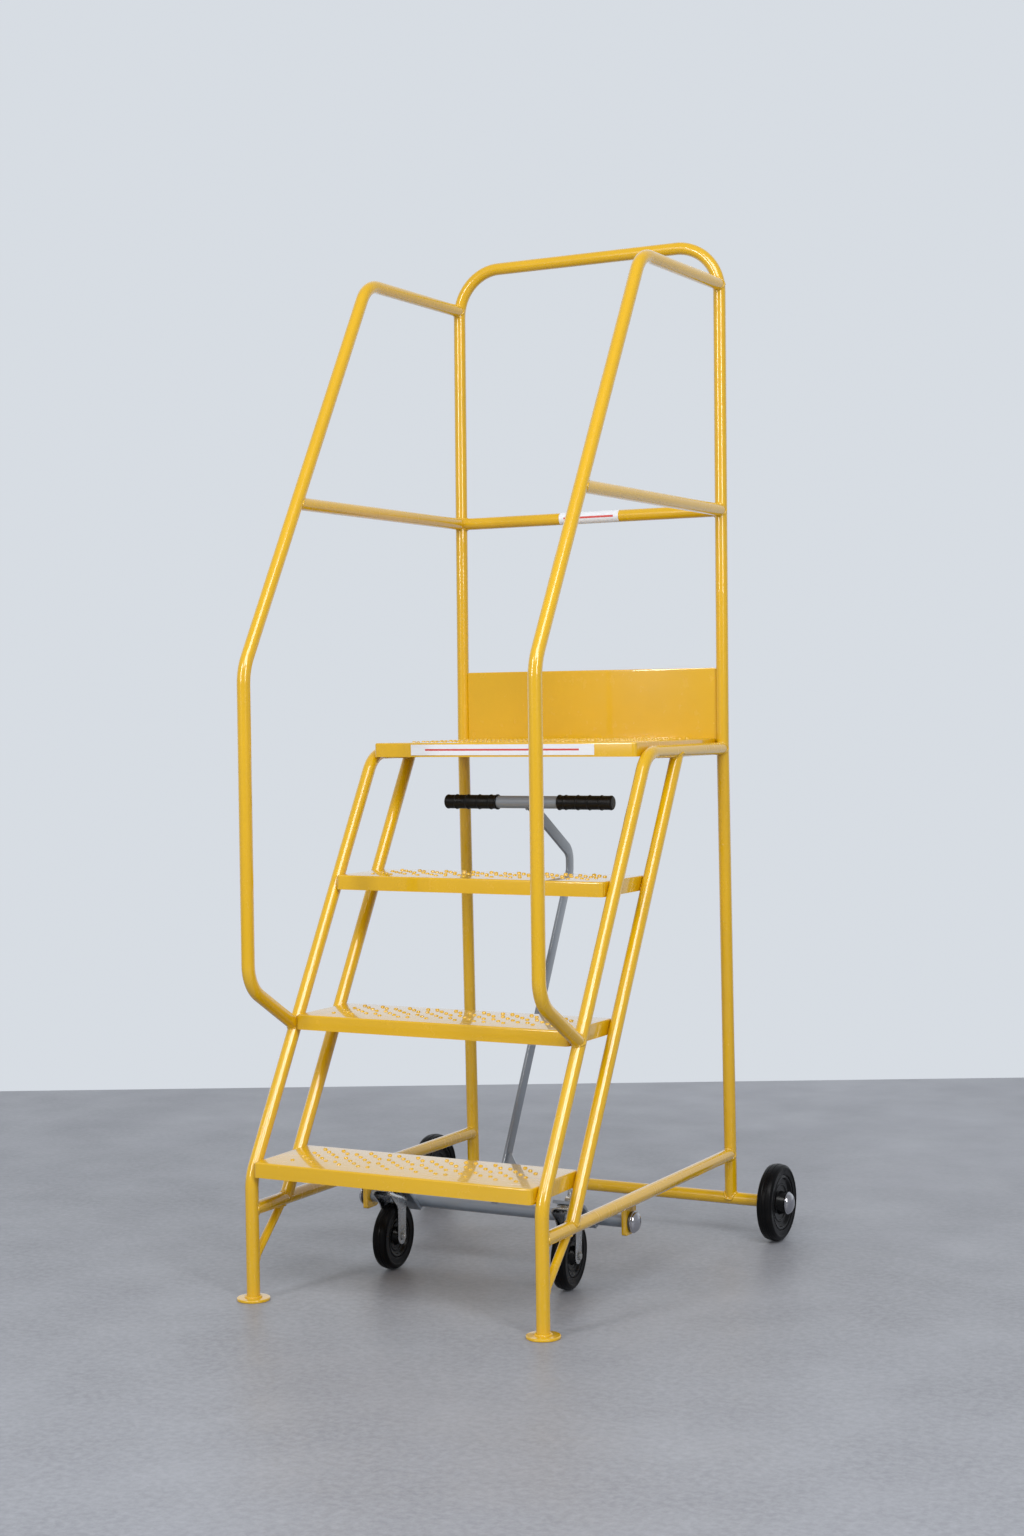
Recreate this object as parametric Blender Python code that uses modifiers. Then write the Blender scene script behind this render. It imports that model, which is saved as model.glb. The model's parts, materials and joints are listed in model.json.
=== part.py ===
"""Mobile ladder stand: welded tube frame with three treads, a platform and a guardrail,
two rear wheels, and a hand lever that pushes two swivel castors down to lift the front feet.

Metres, +Z up, +Y towards the rear, +X to the right of somebody who climbs the treads.
The origin is on the floor at the middle of the stand's bounding box.
Side views are drawn as (depth, height): depth is measured back from the front legs.
"""
import math

import bmesh
import bpy
from mathutils import Euler, Matrix, Vector

# Clearances and facets
GAP = 0.0003
TUBE_SIDES_RESOLUTION = 4
BEND_STEP = math.radians(10)
WHEEL_STEPS = 32
SMALL_STEPS = 16

# Tubes
TUBE_RADIUS = 0.0127
TUBE_WALL = 0.0016
BRACE_RADIUS = 0.008

# Side frames
SIDE_X = 0.3015
TREAD_RISE = 0.254
TREAD_GOING = 0.1495
STRINGER_SLOPE = TREAD_GOING / TREAD_RISE
STRINGER_KNEE_HEIGHT = 0.228
STRINGER_KNEE_RADIUS = 0.09
REAR_STRINGER_OFFSET = 0.1475
PLATFORM_TUBE_HEIGHT = 1.0
PLATFORM_BEND_RADIUS = 0.065
SIDE_RAIL_HEIGHT = 0.168
BRACE_LEG_HEIGHT = 0.069
BRACE_RAIL_DEPTH = 0.105
FOOT_RADIUS = 0.031
FOOT_THICKNESS = 0.005

# Treads and platform
FIRST_TREAD_HEIGHT = 0.259
FIRST_TREAD_DEPTH = -0.0145
TREAD_LENGTH = 0.186
TREAD_LIP = 0.028
TREAD_CORNER = 0.008
SHEET = 0.002
TREAD_HALF_WIDTH = SIDE_X - TUBE_RADIUS - GAP

# Guardrail, handrails
REAR_POST_DEPTH = 0.827
REAR_LEG_SPLAY = 0.0185
GUARDRAIL_LEAN = 0.0085
GUARDRAIL_HEIGHT = 2.021
GUARDRAIL_BEND_RADIUS = 0.095
HANDRAIL_START_HEIGHT = 0.490
HANDRAIL_FOOT_RADIUS = 0.07
HANDRAIL_KNEE_HEIGHT = 1.1645
HANDRAIL_KNEE_RADIUS = 0.10
HANDRAIL_TOP_HEIGHT = 1.939
HANDRAIL_TOP_RADIUS = 0.07
MID_RAIL_HEIGHT = 1.483
KICK_PLATE_TOP = 1.164
KICK_PLATE_THICKNESS = 0.003

# Rear wheels
REAR_WHEEL_RADIUS = 0.0775
REAR_WHEEL_X = 0.401
REAR_TYRE_WIDTH = 0.032
REAR_HUB_WIDTH = 0.046
REAR_AXLE_RADIUS = 0.010
REAR_AXLE_DEPTH = REAR_POST_DEPTH + REAR_LEG_SPLAY

# Hand lever
PIVOT_DEPTH = 0.390
PIVOT_HEIGHT = 0.1205
PIVOT_ROD_RADIUS = 0.0098
BRACKET_THICKNESS = 0.010
BRACKET_OUTER_X = SIDE_X - TUBE_RADIUS - GAP
BRACKET_HALF_DEPTH = 0.0225
BRACKET_BELOW = 0.0235
BRACKET_ABOVE = 0.0475
WASHER_THICKNESS = 0.004
WASHER_RADIUS = 0.019
LEVER_THICKNESS = 0.006
LEVER_WIDTH = 0.025
LEVER_SLOPE = 0.535
LEVER_ELBOW_DEPTH = 0.7275
LEVER_ELBOW_TOP = 0.790
LEVER_BEND_RADIUS = 0.030
HANDLE_DEPTH = 0.548
HANDLE_HEIGHT = 0.900
HANDLE_HALF_LENGTH = 0.1835
GRIP_LENGTH = 0.1185
GRIP_RADIUS = 0.0155
GRIP_END = 0.1865
GUSSET_HEIGHT = 0.095
GUSSET_WIDTH = 0.078

# Castors. The king bolt leans back so that it stands upright once the lever is pulled.
CASTOR_X = {"left": -0.185, "right": 0.199}
CASTOR_DEPTH = 0.308
CASTOR_HEIGHT = 0.165
CASTOR_LEAN = math.radians(18)
CASTOR_SWIVEL = {"left": math.radians(2.5), "right": math.radians(6)}
CASTOR_ARM_WIDTH = 0.042
CASTOR_ARM_THICKNESS = 0.006
CASTOR_ARM_HALF_PLATE = 0.026
CASTOR_DROP = 0.0935
CASTOR_TRAIL = 0.036
CASTOR_RADIUS = 0.0645
CASTOR_TYRE_WIDTH = 0.030
CASTOR_RIM_RADIUS = 0.042
CASTOR_HUB_RADIUS = 0.014
CASTOR_HUB_WIDTH = 0.0334
CASTOR_HEAD_TOP = -CASTOR_ARM_THICKNESS - GAP
CASTOR_HEAD_BOTTOM = -0.0140
FORK_TOP = CASTOR_HEAD_BOTTOM - GAP
FORK_SHEET = 0.003
FORK_HALF_WIDTH = 0.020
FORK_BOSS_RADIUS = 0.015
FORK_CROWN_FRONT = -0.036
FORK_CROWN_REAR = 0.034
FORK_SHOULDER = 0.005
KING_BOLT_RADIUS = 0.005
AXLE_BOLT_RADIUS = 0.004

# Stickers
STICKER_THICKNESS = 0.0004
PLATFORM_STICKER_WIDTH = 0.404
PLATFORM_STICKER_HEIGHT = 0.021
RAIL_STICKER_START = -0.061
RAIL_STICKER_END = 0.076

# Worked out: the front legs' place that centres the bounding box on the origin
FRONT_LEG_Y = (FOOT_RADIUS - REAR_AXLE_DEPTH - REAR_WHEEL_RADIUS) / 2

SIDES = {"left": -1, "right": 1}
IN_SIDE_PLANE = (math.pi / 2, 0, math.pi / 2)
AXIS_TO_RIGHT = (0, math.pi / 2, 0)
AXIS_TO_LEFT = (0, -math.pi / 2, 0)

MATERIALS = {
    "yellow_paint": ((0.76, 0.44, 0.03), 0.25, 0.0),
    "grey_paint": ((0.20, 0.23, 0.27), 0.40, 0.0),
    "black_rubber": ((0.012, 0.012, 0.013), 0.60, 0.0),
    "black_plastic": ((0.015, 0.015, 0.016), 0.40, 0.0),
    "chrome": ((0.75, 0.75, 0.77), 0.10, 1.0),
    "zinc": ((0.62, 0.64, 0.66), 0.30, 1.0),
    "steel": ((0.22, 0.22, 0.23), 0.40, 1.0),
    "white_vinyl": ((0.85, 0.87, 0.90), 0.35, 0.0),
}


# ---------------------------------------------------------------- scene and materials

def clear_scene():
    for thing in list(bpy.data.objects):
        bpy.data.objects.remove(thing, do_unlink=True)


def new_collection(name):
    collection = bpy.data.collections.new(name)
    bpy.context.scene.collection.children.link(collection)
    return collection


def make_materials():
    for name, (colour, roughness, metallic) in MATERIALS.items():
        material = bpy.data.materials.new(name)
        material.use_nodes = True
        shader = material.node_tree.nodes["Principled BSDF"]
        shader.inputs["Base Color"].default_value = (*colour, 1.0)
        shader.inputs["Roughness"].default_value = roughness
        shader.inputs["Metallic"].default_value = metallic


def add_object(name, data, material, parent=None, location=(0, 0, 0), rotation=(0, 0, 0)):
    thing = bpy.data.objects.new(name, data)
    parts.objects.link(thing)
    data.materials.append(bpy.data.materials[material])
    thing.parent = parent
    thing.location = location
    thing.rotation_euler = rotation
    return thing


def add_empty(name, location, parent=None, rotation=(0, 0, 0)):
    empty = bpy.data.objects.new(name, None)
    empty.empty_display_size = 0.05
    parts.objects.link(empty)
    empty.parent = parent
    empty.location = location
    empty.rotation_euler = rotation
    return empty


def smooth(mesh):
    mesh.shade_smooth()
    mesh.set_sharp_from_angle(angle=math.radians(35))


# ---------------------------------------------------------------- paths and outlines

def at(depth, height, x=0.0):
    """World point of a side-view place."""
    return Vector((x, FRONT_LEG_Y + depth, height))


def stringer_depth(height):
    return (height - STRINGER_KNEE_HEIGHT) * STRINGER_SLOPE


def handrail_depth(height):
    return (height - HANDRAIL_KNEE_HEIGHT) * STRINGER_SLOPE


def rear_post_depth(height):
    """Depth of the guardrail hoop's posts: both ends lean a little to the rear."""
    if height < PLATFORM_TUBE_HEIGHT:
        fall = PLATFORM_TUBE_HEIGHT - height
        return REAR_POST_DEPTH + REAR_LEG_SPLAY * fall / (PLATFORM_TUBE_HEIGHT - REAR_WHEEL_RADIUS)
    climb = height - PLATFORM_TUBE_HEIGHT
    return REAR_POST_DEPTH + GUARDRAIL_LEAN * climb / (GUARDRAIL_HEIGHT - PLATFORM_TUBE_HEIGHT)


def rounded_path(corners):
    """Points of a bent centreline. Each corner is (point, bend radius)."""
    points = [Vector(corners[0][0])]
    for (before, _), (corner, radius), (after, _) in zip(corners, corners[1:], corners[2:]):
        before, corner, after = Vector(before), Vector(corner), Vector(after)
        arriving = (corner - before).normalized()
        leaving = (after - corner).normalized()
        turn = arriving.angle(leaving)
        inward = (leaving - arriving).normalized()
        centre = corner + inward * (radius / math.cos(turn / 2))
        axis = arriving.cross(leaving).normalized()
        start = corner - arriving * (radius * math.tan(turn / 2)) - centre
        steps = max(2, math.ceil(turn / BEND_STEP))
        for step in range(steps + 1):
            points.append(centre + Matrix.Rotation(turn * step / steps, 3, axis) @ start)
    points.append(Vector(corners[-1][0]))
    return points


def strip_outline(path, width):
    """Outline of a flat bar of the given width that follows a path in the XY plane."""
    one_side = []
    other_side = []
    for index, point in enumerate(path):
        before = path[max(index - 1, 0)]
        after = path[min(index + 1, len(path) - 1)]
        along = (after - before).normalized()
        across = Vector((-along.y, along.x, 0)) * (width / 2)
        one_side.append(point + across)
        other_side.append(point - across)
    return one_side + other_side[::-1]


def circle_outline(centre, radius, steps=SMALL_STEPS):
    """A circle whose flats, not its corners, are at the given radius."""
    reach = radius / math.cos(math.pi / steps)
    turns = [2 * math.pi * (step + 0.5) / steps for step in range(steps)]
    return [Vector((centre[0] + reach * math.cos(a), centre[1] + reach * math.sin(a), 0)) for a in turns]


# ---------------------------------------------------------------- makers of shapes

def curve_to_mesh(curve, name):
    """Turn a curve into a mesh whose caps are welded and whose faces point out."""
    holder = bpy.data.objects.new(name, curve)
    bpy.context.scene.collection.objects.link(holder)
    depsgraph = bpy.context.evaluated_depsgraph_get()
    mesh = bpy.data.meshes.new_from_object(holder.evaluated_get(depsgraph))
    bpy.data.objects.remove(holder)
    bpy.data.curves.remove(curve)
    shape = bmesh.new()
    shape.from_mesh(mesh)
    bmesh.ops.remove_doubles(shape, verts=shape.verts, dist=0.00001)
    bmesh.ops.recalc_face_normals(shape, faces=shape.faces)
    shape.to_mesh(mesh)
    shape.free()
    mesh.name = name
    mesh.materials.clear()
    return mesh


def swept_mesh(name, path, radius, capped):
    curve = bpy.data.curves.new(name + "_path", "CURVE")
    curve.dimensions = "3D"
    curve.bevel_depth = radius
    curve.bevel_resolution = TUBE_SIDES_RESOLUTION
    curve.use_fill_caps = capped
    spline = curve.splines.new("POLY")
    spline.points.add(len(path) - 1)
    for place, point in zip(spline.points, path):
        place.co = (*point, 1)
    return curve_to_mesh(curve, name)


def tube(name, path, material, radius=TUBE_RADIUS, parent=None, location=(0, 0, 0)):
    """An open-ended tube along a path."""
    mesh = swept_mesh(name, path, radius, capped=False)
    smooth(mesh)
    thing = add_object(name, mesh, material, parent, location)
    wall = thing.modifiers.new("wall", "SOLIDIFY")
    wall.thickness = TUBE_WALL
    wall.offset = -1
    return thing


def tube_cutter(name, path, radius=TUBE_RADIUS, location=(0, 0, 0)):
    """A solid rod a gap larger than a tube, used to shape the ends of tubes welded to it."""
    mesh = swept_mesh(name, path, radius + GAP, capped=True)
    cutter = bpy.data.objects.new(name, mesh)
    cutters.objects.link(cutter)
    cutter.location = location
    cutter.hide_render = True
    cutter.display_type = "WIRE"
    return cutter


def cope(thing, cutter):
    cut = thing.modifiers.new("cope", "BOOLEAN")
    cut.operation = "DIFFERENCE"
    cut.solver = "EXACT"
    cut.object = cutter


def plate(name, outlines, thickness, material, parent=None, location=(0, 0, 0), rotation=(0, 0, 0)):
    """A flat plate: the first outline is its edge and the others are holes."""
    curve = bpy.data.curves.new(name + "_outline", "CURVE")
    curve.dimensions = "2D"
    curve.fill_mode = "BOTH"
    curve.extrude = thickness / 2
    for outline in outlines:
        spline = curve.splines.new("POLY")
        spline.points.add(len(outline) - 1)
        spline.use_cyclic_u = True
        for place, point in zip(spline.points, outline):
            place.co = (point[0], point[1], 0, 1)
    mesh = curve_to_mesh(curve, name)
    smooth(mesh)
    return add_object(name, mesh, material, parent, location, rotation)


def turned(name, profile, closed, material, parent, location, rotation, steps=WHEEL_STEPS):
    """A turned piece about its local Z: the profile of (radius, height) runs down its outer side."""
    mesh = bpy.data.meshes.new(name)
    shape = bmesh.new()
    ring = [shape.verts.new((radius, 0, height)) for radius, height in profile]
    for first, second in zip(ring, ring[1:]):
        shape.edges.new((first, second))
    if closed:
        shape.edges.new((ring[-1], ring[0]))
    shape.to_mesh(mesh)
    shape.free()
    thing = add_object(name, mesh, material, parent, location, rotation)
    screw = thing.modifiers.new("turn", "SCREW")
    screw.steps = steps
    screw.render_steps = steps
    screw.use_merge_vertices = True
    screw.merge_threshold = 0.00001
    screw.use_smooth_shade = True
    return thing


def rod(name, radius, length, material, parent, location, rotation=AXIS_TO_RIGHT, steps=SMALL_STEPS):
    mesh = bpy.data.meshes.new(name)
    shape = bmesh.new()
    bmesh.ops.create_cone(
        shape, cap_ends=True, segments=steps, radius1=radius, radius2=radius, depth=length
    )
    shape.to_mesh(mesh)
    shape.free()
    smooth(mesh)
    return add_object(name, mesh, material, parent, location, rotation)


# ---------------------------------------------------------------- frame tubes

def leg_stringer_path():
    return rounded_path([
        ((0, 0, FOOT_THICKNESS + GAP), 0),
        ((0, 0, STRINGER_KNEE_HEIGHT), STRINGER_KNEE_RADIUS),
        ((0, stringer_depth(PLATFORM_TUBE_HEIGHT), PLATFORM_TUBE_HEIGHT), PLATFORM_BEND_RADIUS),
        ((0, REAR_POST_DEPTH, PLATFORM_TUBE_HEIGHT), 0),
    ])


def side_rail_path():
    return [
        Vector((0, 0, SIDE_RAIL_HEIGHT)),
        Vector((0, rear_post_depth(SIDE_RAIL_HEIGHT), SIDE_RAIL_HEIGHT)),
    ]


def handrail_path():
    start_depth = stringer_depth(HANDRAIL_START_HEIGHT)
    foot_corner_height = HANDRAIL_START_HEIGHT + start_depth * STRINGER_SLOPE
    return rounded_path([
        ((0, start_depth, HANDRAIL_START_HEIGHT), 0),
        ((0, 0, foot_corner_height), HANDRAIL_FOOT_RADIUS),
        ((0, 0, HANDRAIL_KNEE_HEIGHT), HANDRAIL_KNEE_RADIUS),
        ((0, handrail_depth(HANDRAIL_TOP_HEIGHT), HANDRAIL_TOP_HEIGHT), HANDRAIL_TOP_RADIUS),
        ((0, rear_post_depth(HANDRAIL_TOP_HEIGHT), HANDRAIL_TOP_HEIGHT), 0),
    ])


def hoop_path():
    kink_radius = 0.4
    def post(side, height):
        return Vector((side * SIDE_X, rear_post_depth(height), height))
    return rounded_path([
        (post(-1, REAR_WHEEL_RADIUS), 0),
        (post(-1, PLATFORM_TUBE_HEIGHT), kink_radius),
        (post(-1, GUARDRAIL_HEIGHT), GUARDRAIL_BEND_RADIUS),
        (post(1, GUARDRAIL_HEIGHT), GUARDRAIL_BEND_RADIUS),
        (post(1, PLATFORM_TUBE_HEIGHT), kink_radius),
        (post(1, REAR_WHEEL_RADIUS), 0),
    ])


def cross_path(depth, height, half_length):
    return [at(depth, height, -half_length), at(depth, height, half_length)]


def rear_stringer_path():
    low = SIDE_RAIL_HEIGHT
    high = PLATFORM_TUBE_HEIGHT
    return [
        Vector((0, stringer_depth(low) + REAR_STRINGER_OFFSET, low)),
        Vector((0, stringer_depth(high) + REAR_STRINGER_OFFSET, high)),
    ]


def make_frame_tubes():
    origin = (0, FRONT_LEG_Y, 0)
    axle_tube_end = REAR_WHEEL_X - REAR_HUB_WIDTH / 2 - 0.0005
    axle_path = cross_path(REAR_AXLE_DEPTH, REAR_WHEEL_RADIUS, axle_tube_end)
    mid_path = cross_path(rear_post_depth(MID_RAIL_HEIGHT), MID_RAIL_HEIGHT, SIDE_X)
    hoop_cutter = tube_cutter("cut_hoop", hoop_path(), location=origin)
    axle_cutter = tube_cutter("cut_axle_tube", axle_path)
    mid_cutter = tube_cutter("cut_rear_mid_rail", mid_path)

    cope(tube("guardrail_hoop", hoop_path(), "yellow_paint", location=origin), axle_cutter)
    tube("rear_axle_tube", axle_path, "yellow_paint")
    cope(tube("rear_mid_rail", mid_path, "yellow_paint"), hoop_cutter)

    for side, sign in SIDES.items():
        place = (sign * SIDE_X, FRONT_LEG_Y, 0)
        leg_cutter = tube_cutter("cut_leg_stringer_" + side, leg_stringer_path(), location=place)
        rail_cutter = tube_cutter("cut_side_rail_" + side, side_rail_path(), location=place)
        hand_cutter = tube_cutter("cut_handrail_" + side, handrail_path(), location=place)

        leg = tube("leg_stringer_" + side, leg_stringer_path(), "yellow_paint", location=place)
        cope(leg, hoop_cutter)
        rail = tube("side_rail_" + side, side_rail_path(), "yellow_paint", location=place)
        cope(rail, leg_cutter)
        cope(rail, hoop_cutter)
        stringer = tube("rear_stringer_" + side, rear_stringer_path(), "yellow_paint", location=place)
        cope(stringer, rail_cutter)
        cope(stringer, leg_cutter)
        brace_path = [Vector((0, 0, BRACE_LEG_HEIGHT)), Vector((0, BRACE_RAIL_DEPTH, SIDE_RAIL_HEIGHT))]
        brace = tube("leg_brace_" + side, brace_path, "yellow_paint", radius=BRACE_RADIUS, location=place)
        cope(brace, leg_cutter)
        cope(brace, rail_cutter)
        hand = tube("handrail_" + side, handrail_path(), "yellow_paint", location=place)
        cope(hand, leg_cutter)
        cope(hand, hoop_cutter)
        middle_path = [
            Vector((0, handrail_depth(MID_RAIL_HEIGHT), MID_RAIL_HEIGHT)),
            Vector((0, rear_post_depth(MID_RAIL_HEIGHT), MID_RAIL_HEIGHT)),
        ]
        middle = tube("mid_rail_" + side, middle_path, "yellow_paint", location=place)
        cope(middle, hand_cutter)
        cope(middle, hoop_cutter)
        cope(middle, mid_cutter)


# ---------------------------------------------------------------- sheet metal

def tray(name, front_depth, top_height, length):
    """A folded tray, open below, with rounded corners."""
    shape = bmesh.new()
    bmesh.ops.create_cube(shape, size=1)
    size = Matrix.Diagonal((2 * TREAD_HALF_WIDTH, length, TREAD_LIP, 1))
    bmesh.ops.transform(shape, matrix=size, verts=shape.verts)
    bmesh.ops.translate(shape, vec=(0, length / 2, -TREAD_LIP / 2), verts=shape.verts)
    bottom = [face for face in shape.faces if face.normal.z < -0.5]
    bmesh.ops.delete(shape, geom=bottom, context="FACES_ONLY")
    upright = [e for e in shape.edges if abs(e.verts[0].co.z - e.verts[1].co.z) > TREAD_LIP / 2]
    bmesh.ops.bevel(shape, geom=upright, offset=TREAD_CORNER, segments=3, profile=0.5, affect="EDGES")
    rim = [e for e in shape.edges if all(v.co.z > -0.0001 for v in e.verts) and len(e.link_faces) == 2]
    bmesh.ops.bevel(shape, geom=rim, offset=0.003, segments=2, profile=0.5, affect="EDGES")
    bmesh.ops.recalc_face_normals(shape, faces=shape.faces)
    mesh = bpy.data.meshes.new(name)
    shape.to_mesh(mesh)
    shape.free()
    up = max(mesh.polygons, key=lambda face: face.area)
    if up.normal.z < 0:
        mesh.flip_normals()
    smooth(mesh)
    thing = add_object(name, mesh, "yellow_paint", location=at(front_depth, top_height))
    sheet = thing.modifiers.new("sheet", "SOLIDIFY")
    sheet.thickness = SHEET
    sheet.offset = -1


def make_treads():
    for number in (1, 2, 3):
        depth = FIRST_TREAD_DEPTH + TREAD_GOING * (number - 1)
        height = FIRST_TREAD_HEIGHT + TREAD_RISE * (number - 1)
        tray("tread_%d" % number, depth, height, TREAD_LENGTH)


def platform_front_depth():
    return FIRST_TREAD_DEPTH + 3 * TREAD_GOING


def platform_top_height():
    return FIRST_TREAD_HEIGHT + 3 * TREAD_RISE


def make_platform():
    front = platform_front_depth()
    rear = REAR_POST_DEPTH - KICK_PLATE_THICKNESS / 2 - GAP
    tray("platform", front, platform_top_height(), rear - front)
    bottom = platform_top_height() - TREAD_LIP
    outline = [
        (-TREAD_HALF_WIDTH, bottom),
        (TREAD_HALF_WIDTH, bottom),
        (TREAD_HALF_WIDTH, KICK_PLATE_TOP),
        (-TREAD_HALF_WIDTH, KICK_PLATE_TOP),
    ]
    plate(
        "kick_plate", [outline], KICK_PLATE_THICKNESS, "yellow_paint",
        location=(0, FRONT_LEG_Y + REAR_POST_DEPTH, 0), rotation=(math.pi / 2, 0, 0),
    )


def make_stickers():
    half = PLATFORM_STICKER_WIDTH / 2
    middle = platform_top_height() - TREAD_LIP / 2
    low = middle - PLATFORM_STICKER_HEIGHT / 2
    high = middle + PLATFORM_STICKER_HEIGHT / 2
    face = FRONT_LEG_Y + platform_front_depth() - GAP - STICKER_THICKNESS / 2
    outline = [(-half, low), (half, low), (half, high), (-half, high)]
    plate(
        "platform_sticker", [outline], STICKER_THICKNESS, "white_vinyl",
        location=(0, face, 0), rotation=(math.pi / 2, 0, 0),
    )
    inner = TUBE_RADIUS + GAP
    outer = inner + STICKER_THICKNESS
    turns = [math.radians(angle) for angle in range(110, 251, 20)]
    outline = [(outer * math.cos(a), outer * math.sin(a)) for a in turns]
    outline += [(inner * math.cos(a), inner * math.sin(a)) for a in reversed(turns)]
    plate(
        "guardrail_sticker", [outline], RAIL_STICKER_END - RAIL_STICKER_START, "white_vinyl",
        location=at(
            rear_post_depth(MID_RAIL_HEIGHT), MID_RAIL_HEIGHT, (RAIL_STICKER_START + RAIL_STICKER_END) / 2
        ),
        rotation=IN_SIDE_PLANE,
    )


def make_feet():
    for side, sign in SIDES.items():
        profile = [
            (0, FOOT_THICKNESS),
            (FOOT_RADIUS - 0.001, FOOT_THICKNESS),
            (FOOT_RADIUS, FOOT_THICKNESS - 0.001),
            (FOOT_RADIUS, 0),
            (0, 0),
        ]
        turned("foot_" + side, profile, False, "yellow_paint", None, at(0, 0, sign * SIDE_X), (0, 0, 0))


# ---------------------------------------------------------------- wheels and caps

def tyre_profile(radius, inner, width):
    half = width / 2
    return [
        (radius - 0.007, half),
        (radius - 0.003, half - 0.0012),
        (radius, half * 0.45),
        (radius, -half * 0.45),
        (radius - 0.003, -half + 0.0012),
        (radius - 0.007, -half),
        (inner, -half),
        (inner, half),
    ]


def rim_profile(outer, flange, hub_radius, hub_width, bore):
    half = flange / 2
    hub = hub_width / 2
    web = half * 0.4
    return [
        (bore, hub),
        (hub_radius, hub),
        (hub_radius + 0.002, web),
        (outer - 0.008, web),
        (outer - 0.005, half),
        (outer, half),
        (outer, -half),
        (outer - 0.005, -half),
        (outer - 0.008, -web),
        (hub_radius + 0.002, -web),
        (hub_radius, -hub),
        (bore, -hub),
    ]


def dome_cap(name, radius, rod_radius, parent, location, rotation):
    """A push-on cap with a recess for the end of the rod."""
    height = 0.013
    recess = 0.008
    bore = rod_radius + 0.0004
    profile = [(0, height)]
    for step in range(1, 6):
        turn = math.pi / 2 * step / 6
        profile.append((radius * math.sin(turn), 0.0025 + (height - 0.0025) * math.cos(turn)))
    profile += [(radius, 0.0025), (radius, 0), (bore, 0), (bore, recess), (0, recess)]
    return turned(name, profile, False, "chrome", parent, location, rotation, steps=24)


def make_rear_wheels():
    axle = at(REAR_AXLE_DEPTH, REAR_WHEEL_RADIUS)
    cap_base = REAR_WHEEL_X + REAR_HUB_WIDTH / 2 + GAP
    rod("rear_axle_rod", REAR_AXLE_RADIUS, 2 * (cap_base + 0.007), "steel", None, axle)
    for side, sign in SIDES.items():
        hub = add_empty("rear_wheel_" + side, axle + Vector((sign * REAR_WHEEL_X, 0, 0)))
        tyre = tyre_profile(REAR_WHEEL_RADIUS, 0.056, REAR_TYRE_WIDTH)
        turned("rear_tyre_" + side, tyre, True, "black_rubber", hub, (0, 0, 0), AXIS_TO_RIGHT)
        rim = rim_profile(0.056 - GAP, REAR_TYRE_WIDTH - 0.004, 0.020, REAR_HUB_WIDTH, 0.0107)
        turned("rear_rim_" + side, rim, True, "black_plastic", hub, (0, 0, 0), AXIS_TO_RIGHT)
        cap_place = axle + Vector((sign * cap_base, 0, 0))
        facing = AXIS_TO_RIGHT if sign > 0 else AXIS_TO_LEFT
        dome_cap("rear_cap_" + side, 0.0225, REAR_AXLE_RADIUS, None, cap_place, facing)


# ---------------------------------------------------------------- hand lever

def make_lever_pivot():
    pivot = at(PIVOT_DEPTH, PIVOT_HEIGHT)
    washer_base = BRACKET_OUTER_X + GAP
    cap_base = washer_base + WASHER_THICKNESS + GAP
    rod("lever_pivot_rod", PIVOT_ROD_RADIUS, 2 * (cap_base + 0.007), "steel", None, pivot)
    edge = [
        (-BRACKET_HALF_DEPTH, -BRACKET_BELOW + 0.004),
        (-BRACKET_HALF_DEPTH + 0.004, -BRACKET_BELOW),
        (BRACKET_HALF_DEPTH - 0.004, -BRACKET_BELOW),
        (BRACKET_HALF_DEPTH, -BRACKET_BELOW + 0.004),
        (BRACKET_HALF_DEPTH, BRACKET_ABOVE),
        (-BRACKET_HALF_DEPTH, BRACKET_ABOVE),
    ]
    hole = circle_outline((0, 0), PIVOT_ROD_RADIUS + GAP)
    for side, sign in SIDES.items():
        middle = sign * (BRACKET_OUTER_X - BRACKET_THICKNESS / 2)
        plate(
            "lever_bracket_" + side, [edge, hole], BRACKET_THICKNESS, "yellow_paint",
            location=pivot + Vector((middle, 0, 0)), rotation=IN_SIDE_PLANE,
        )
        facing = AXIS_TO_RIGHT if sign > 0 else AXIS_TO_LEFT
        washer = [
            (WASHER_RADIUS, WASHER_THICKNESS),
            (WASHER_RADIUS, 0),
            (PIVOT_ROD_RADIUS + 0.0006, 0),
            (PIVOT_ROD_RADIUS + 0.0006, WASHER_THICKNESS),
        ]
        washer_place = pivot + Vector((sign * washer_base, 0, 0))
        turned("lever_washer_" + side, washer, True, "steel", None, washer_place, facing, steps=24)
        cap_place = pivot + Vector((sign * cap_base, 0, 0))
        dome_cap("lever_cap_" + side, 0.021, PIVOT_ROD_RADIUS, None, cap_place, facing)


def lever_bar_path():
    """Side view of the lever about its pivot: up and back, then forward to the handle."""
    elbow_height = PIVOT_HEIGHT + (LEVER_ELBOW_DEPTH - PIVOT_DEPTH) / LEVER_SLOPE
    corners = [
        (PIVOT_DEPTH, PIVOT_HEIGHT, 0),
        (LEVER_ELBOW_DEPTH, elbow_height, LEVER_BEND_RADIUS),
        (LEVER_ELBOW_DEPTH, LEVER_ELBOW_TOP, LEVER_BEND_RADIUS),
        (HANDLE_DEPTH, HANDLE_HEIGHT, 0),
    ]
    return rounded_path([((d - PIVOT_DEPTH, h - PIVOT_HEIGHT, 0), radius) for d, h, radius in corners])


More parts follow.
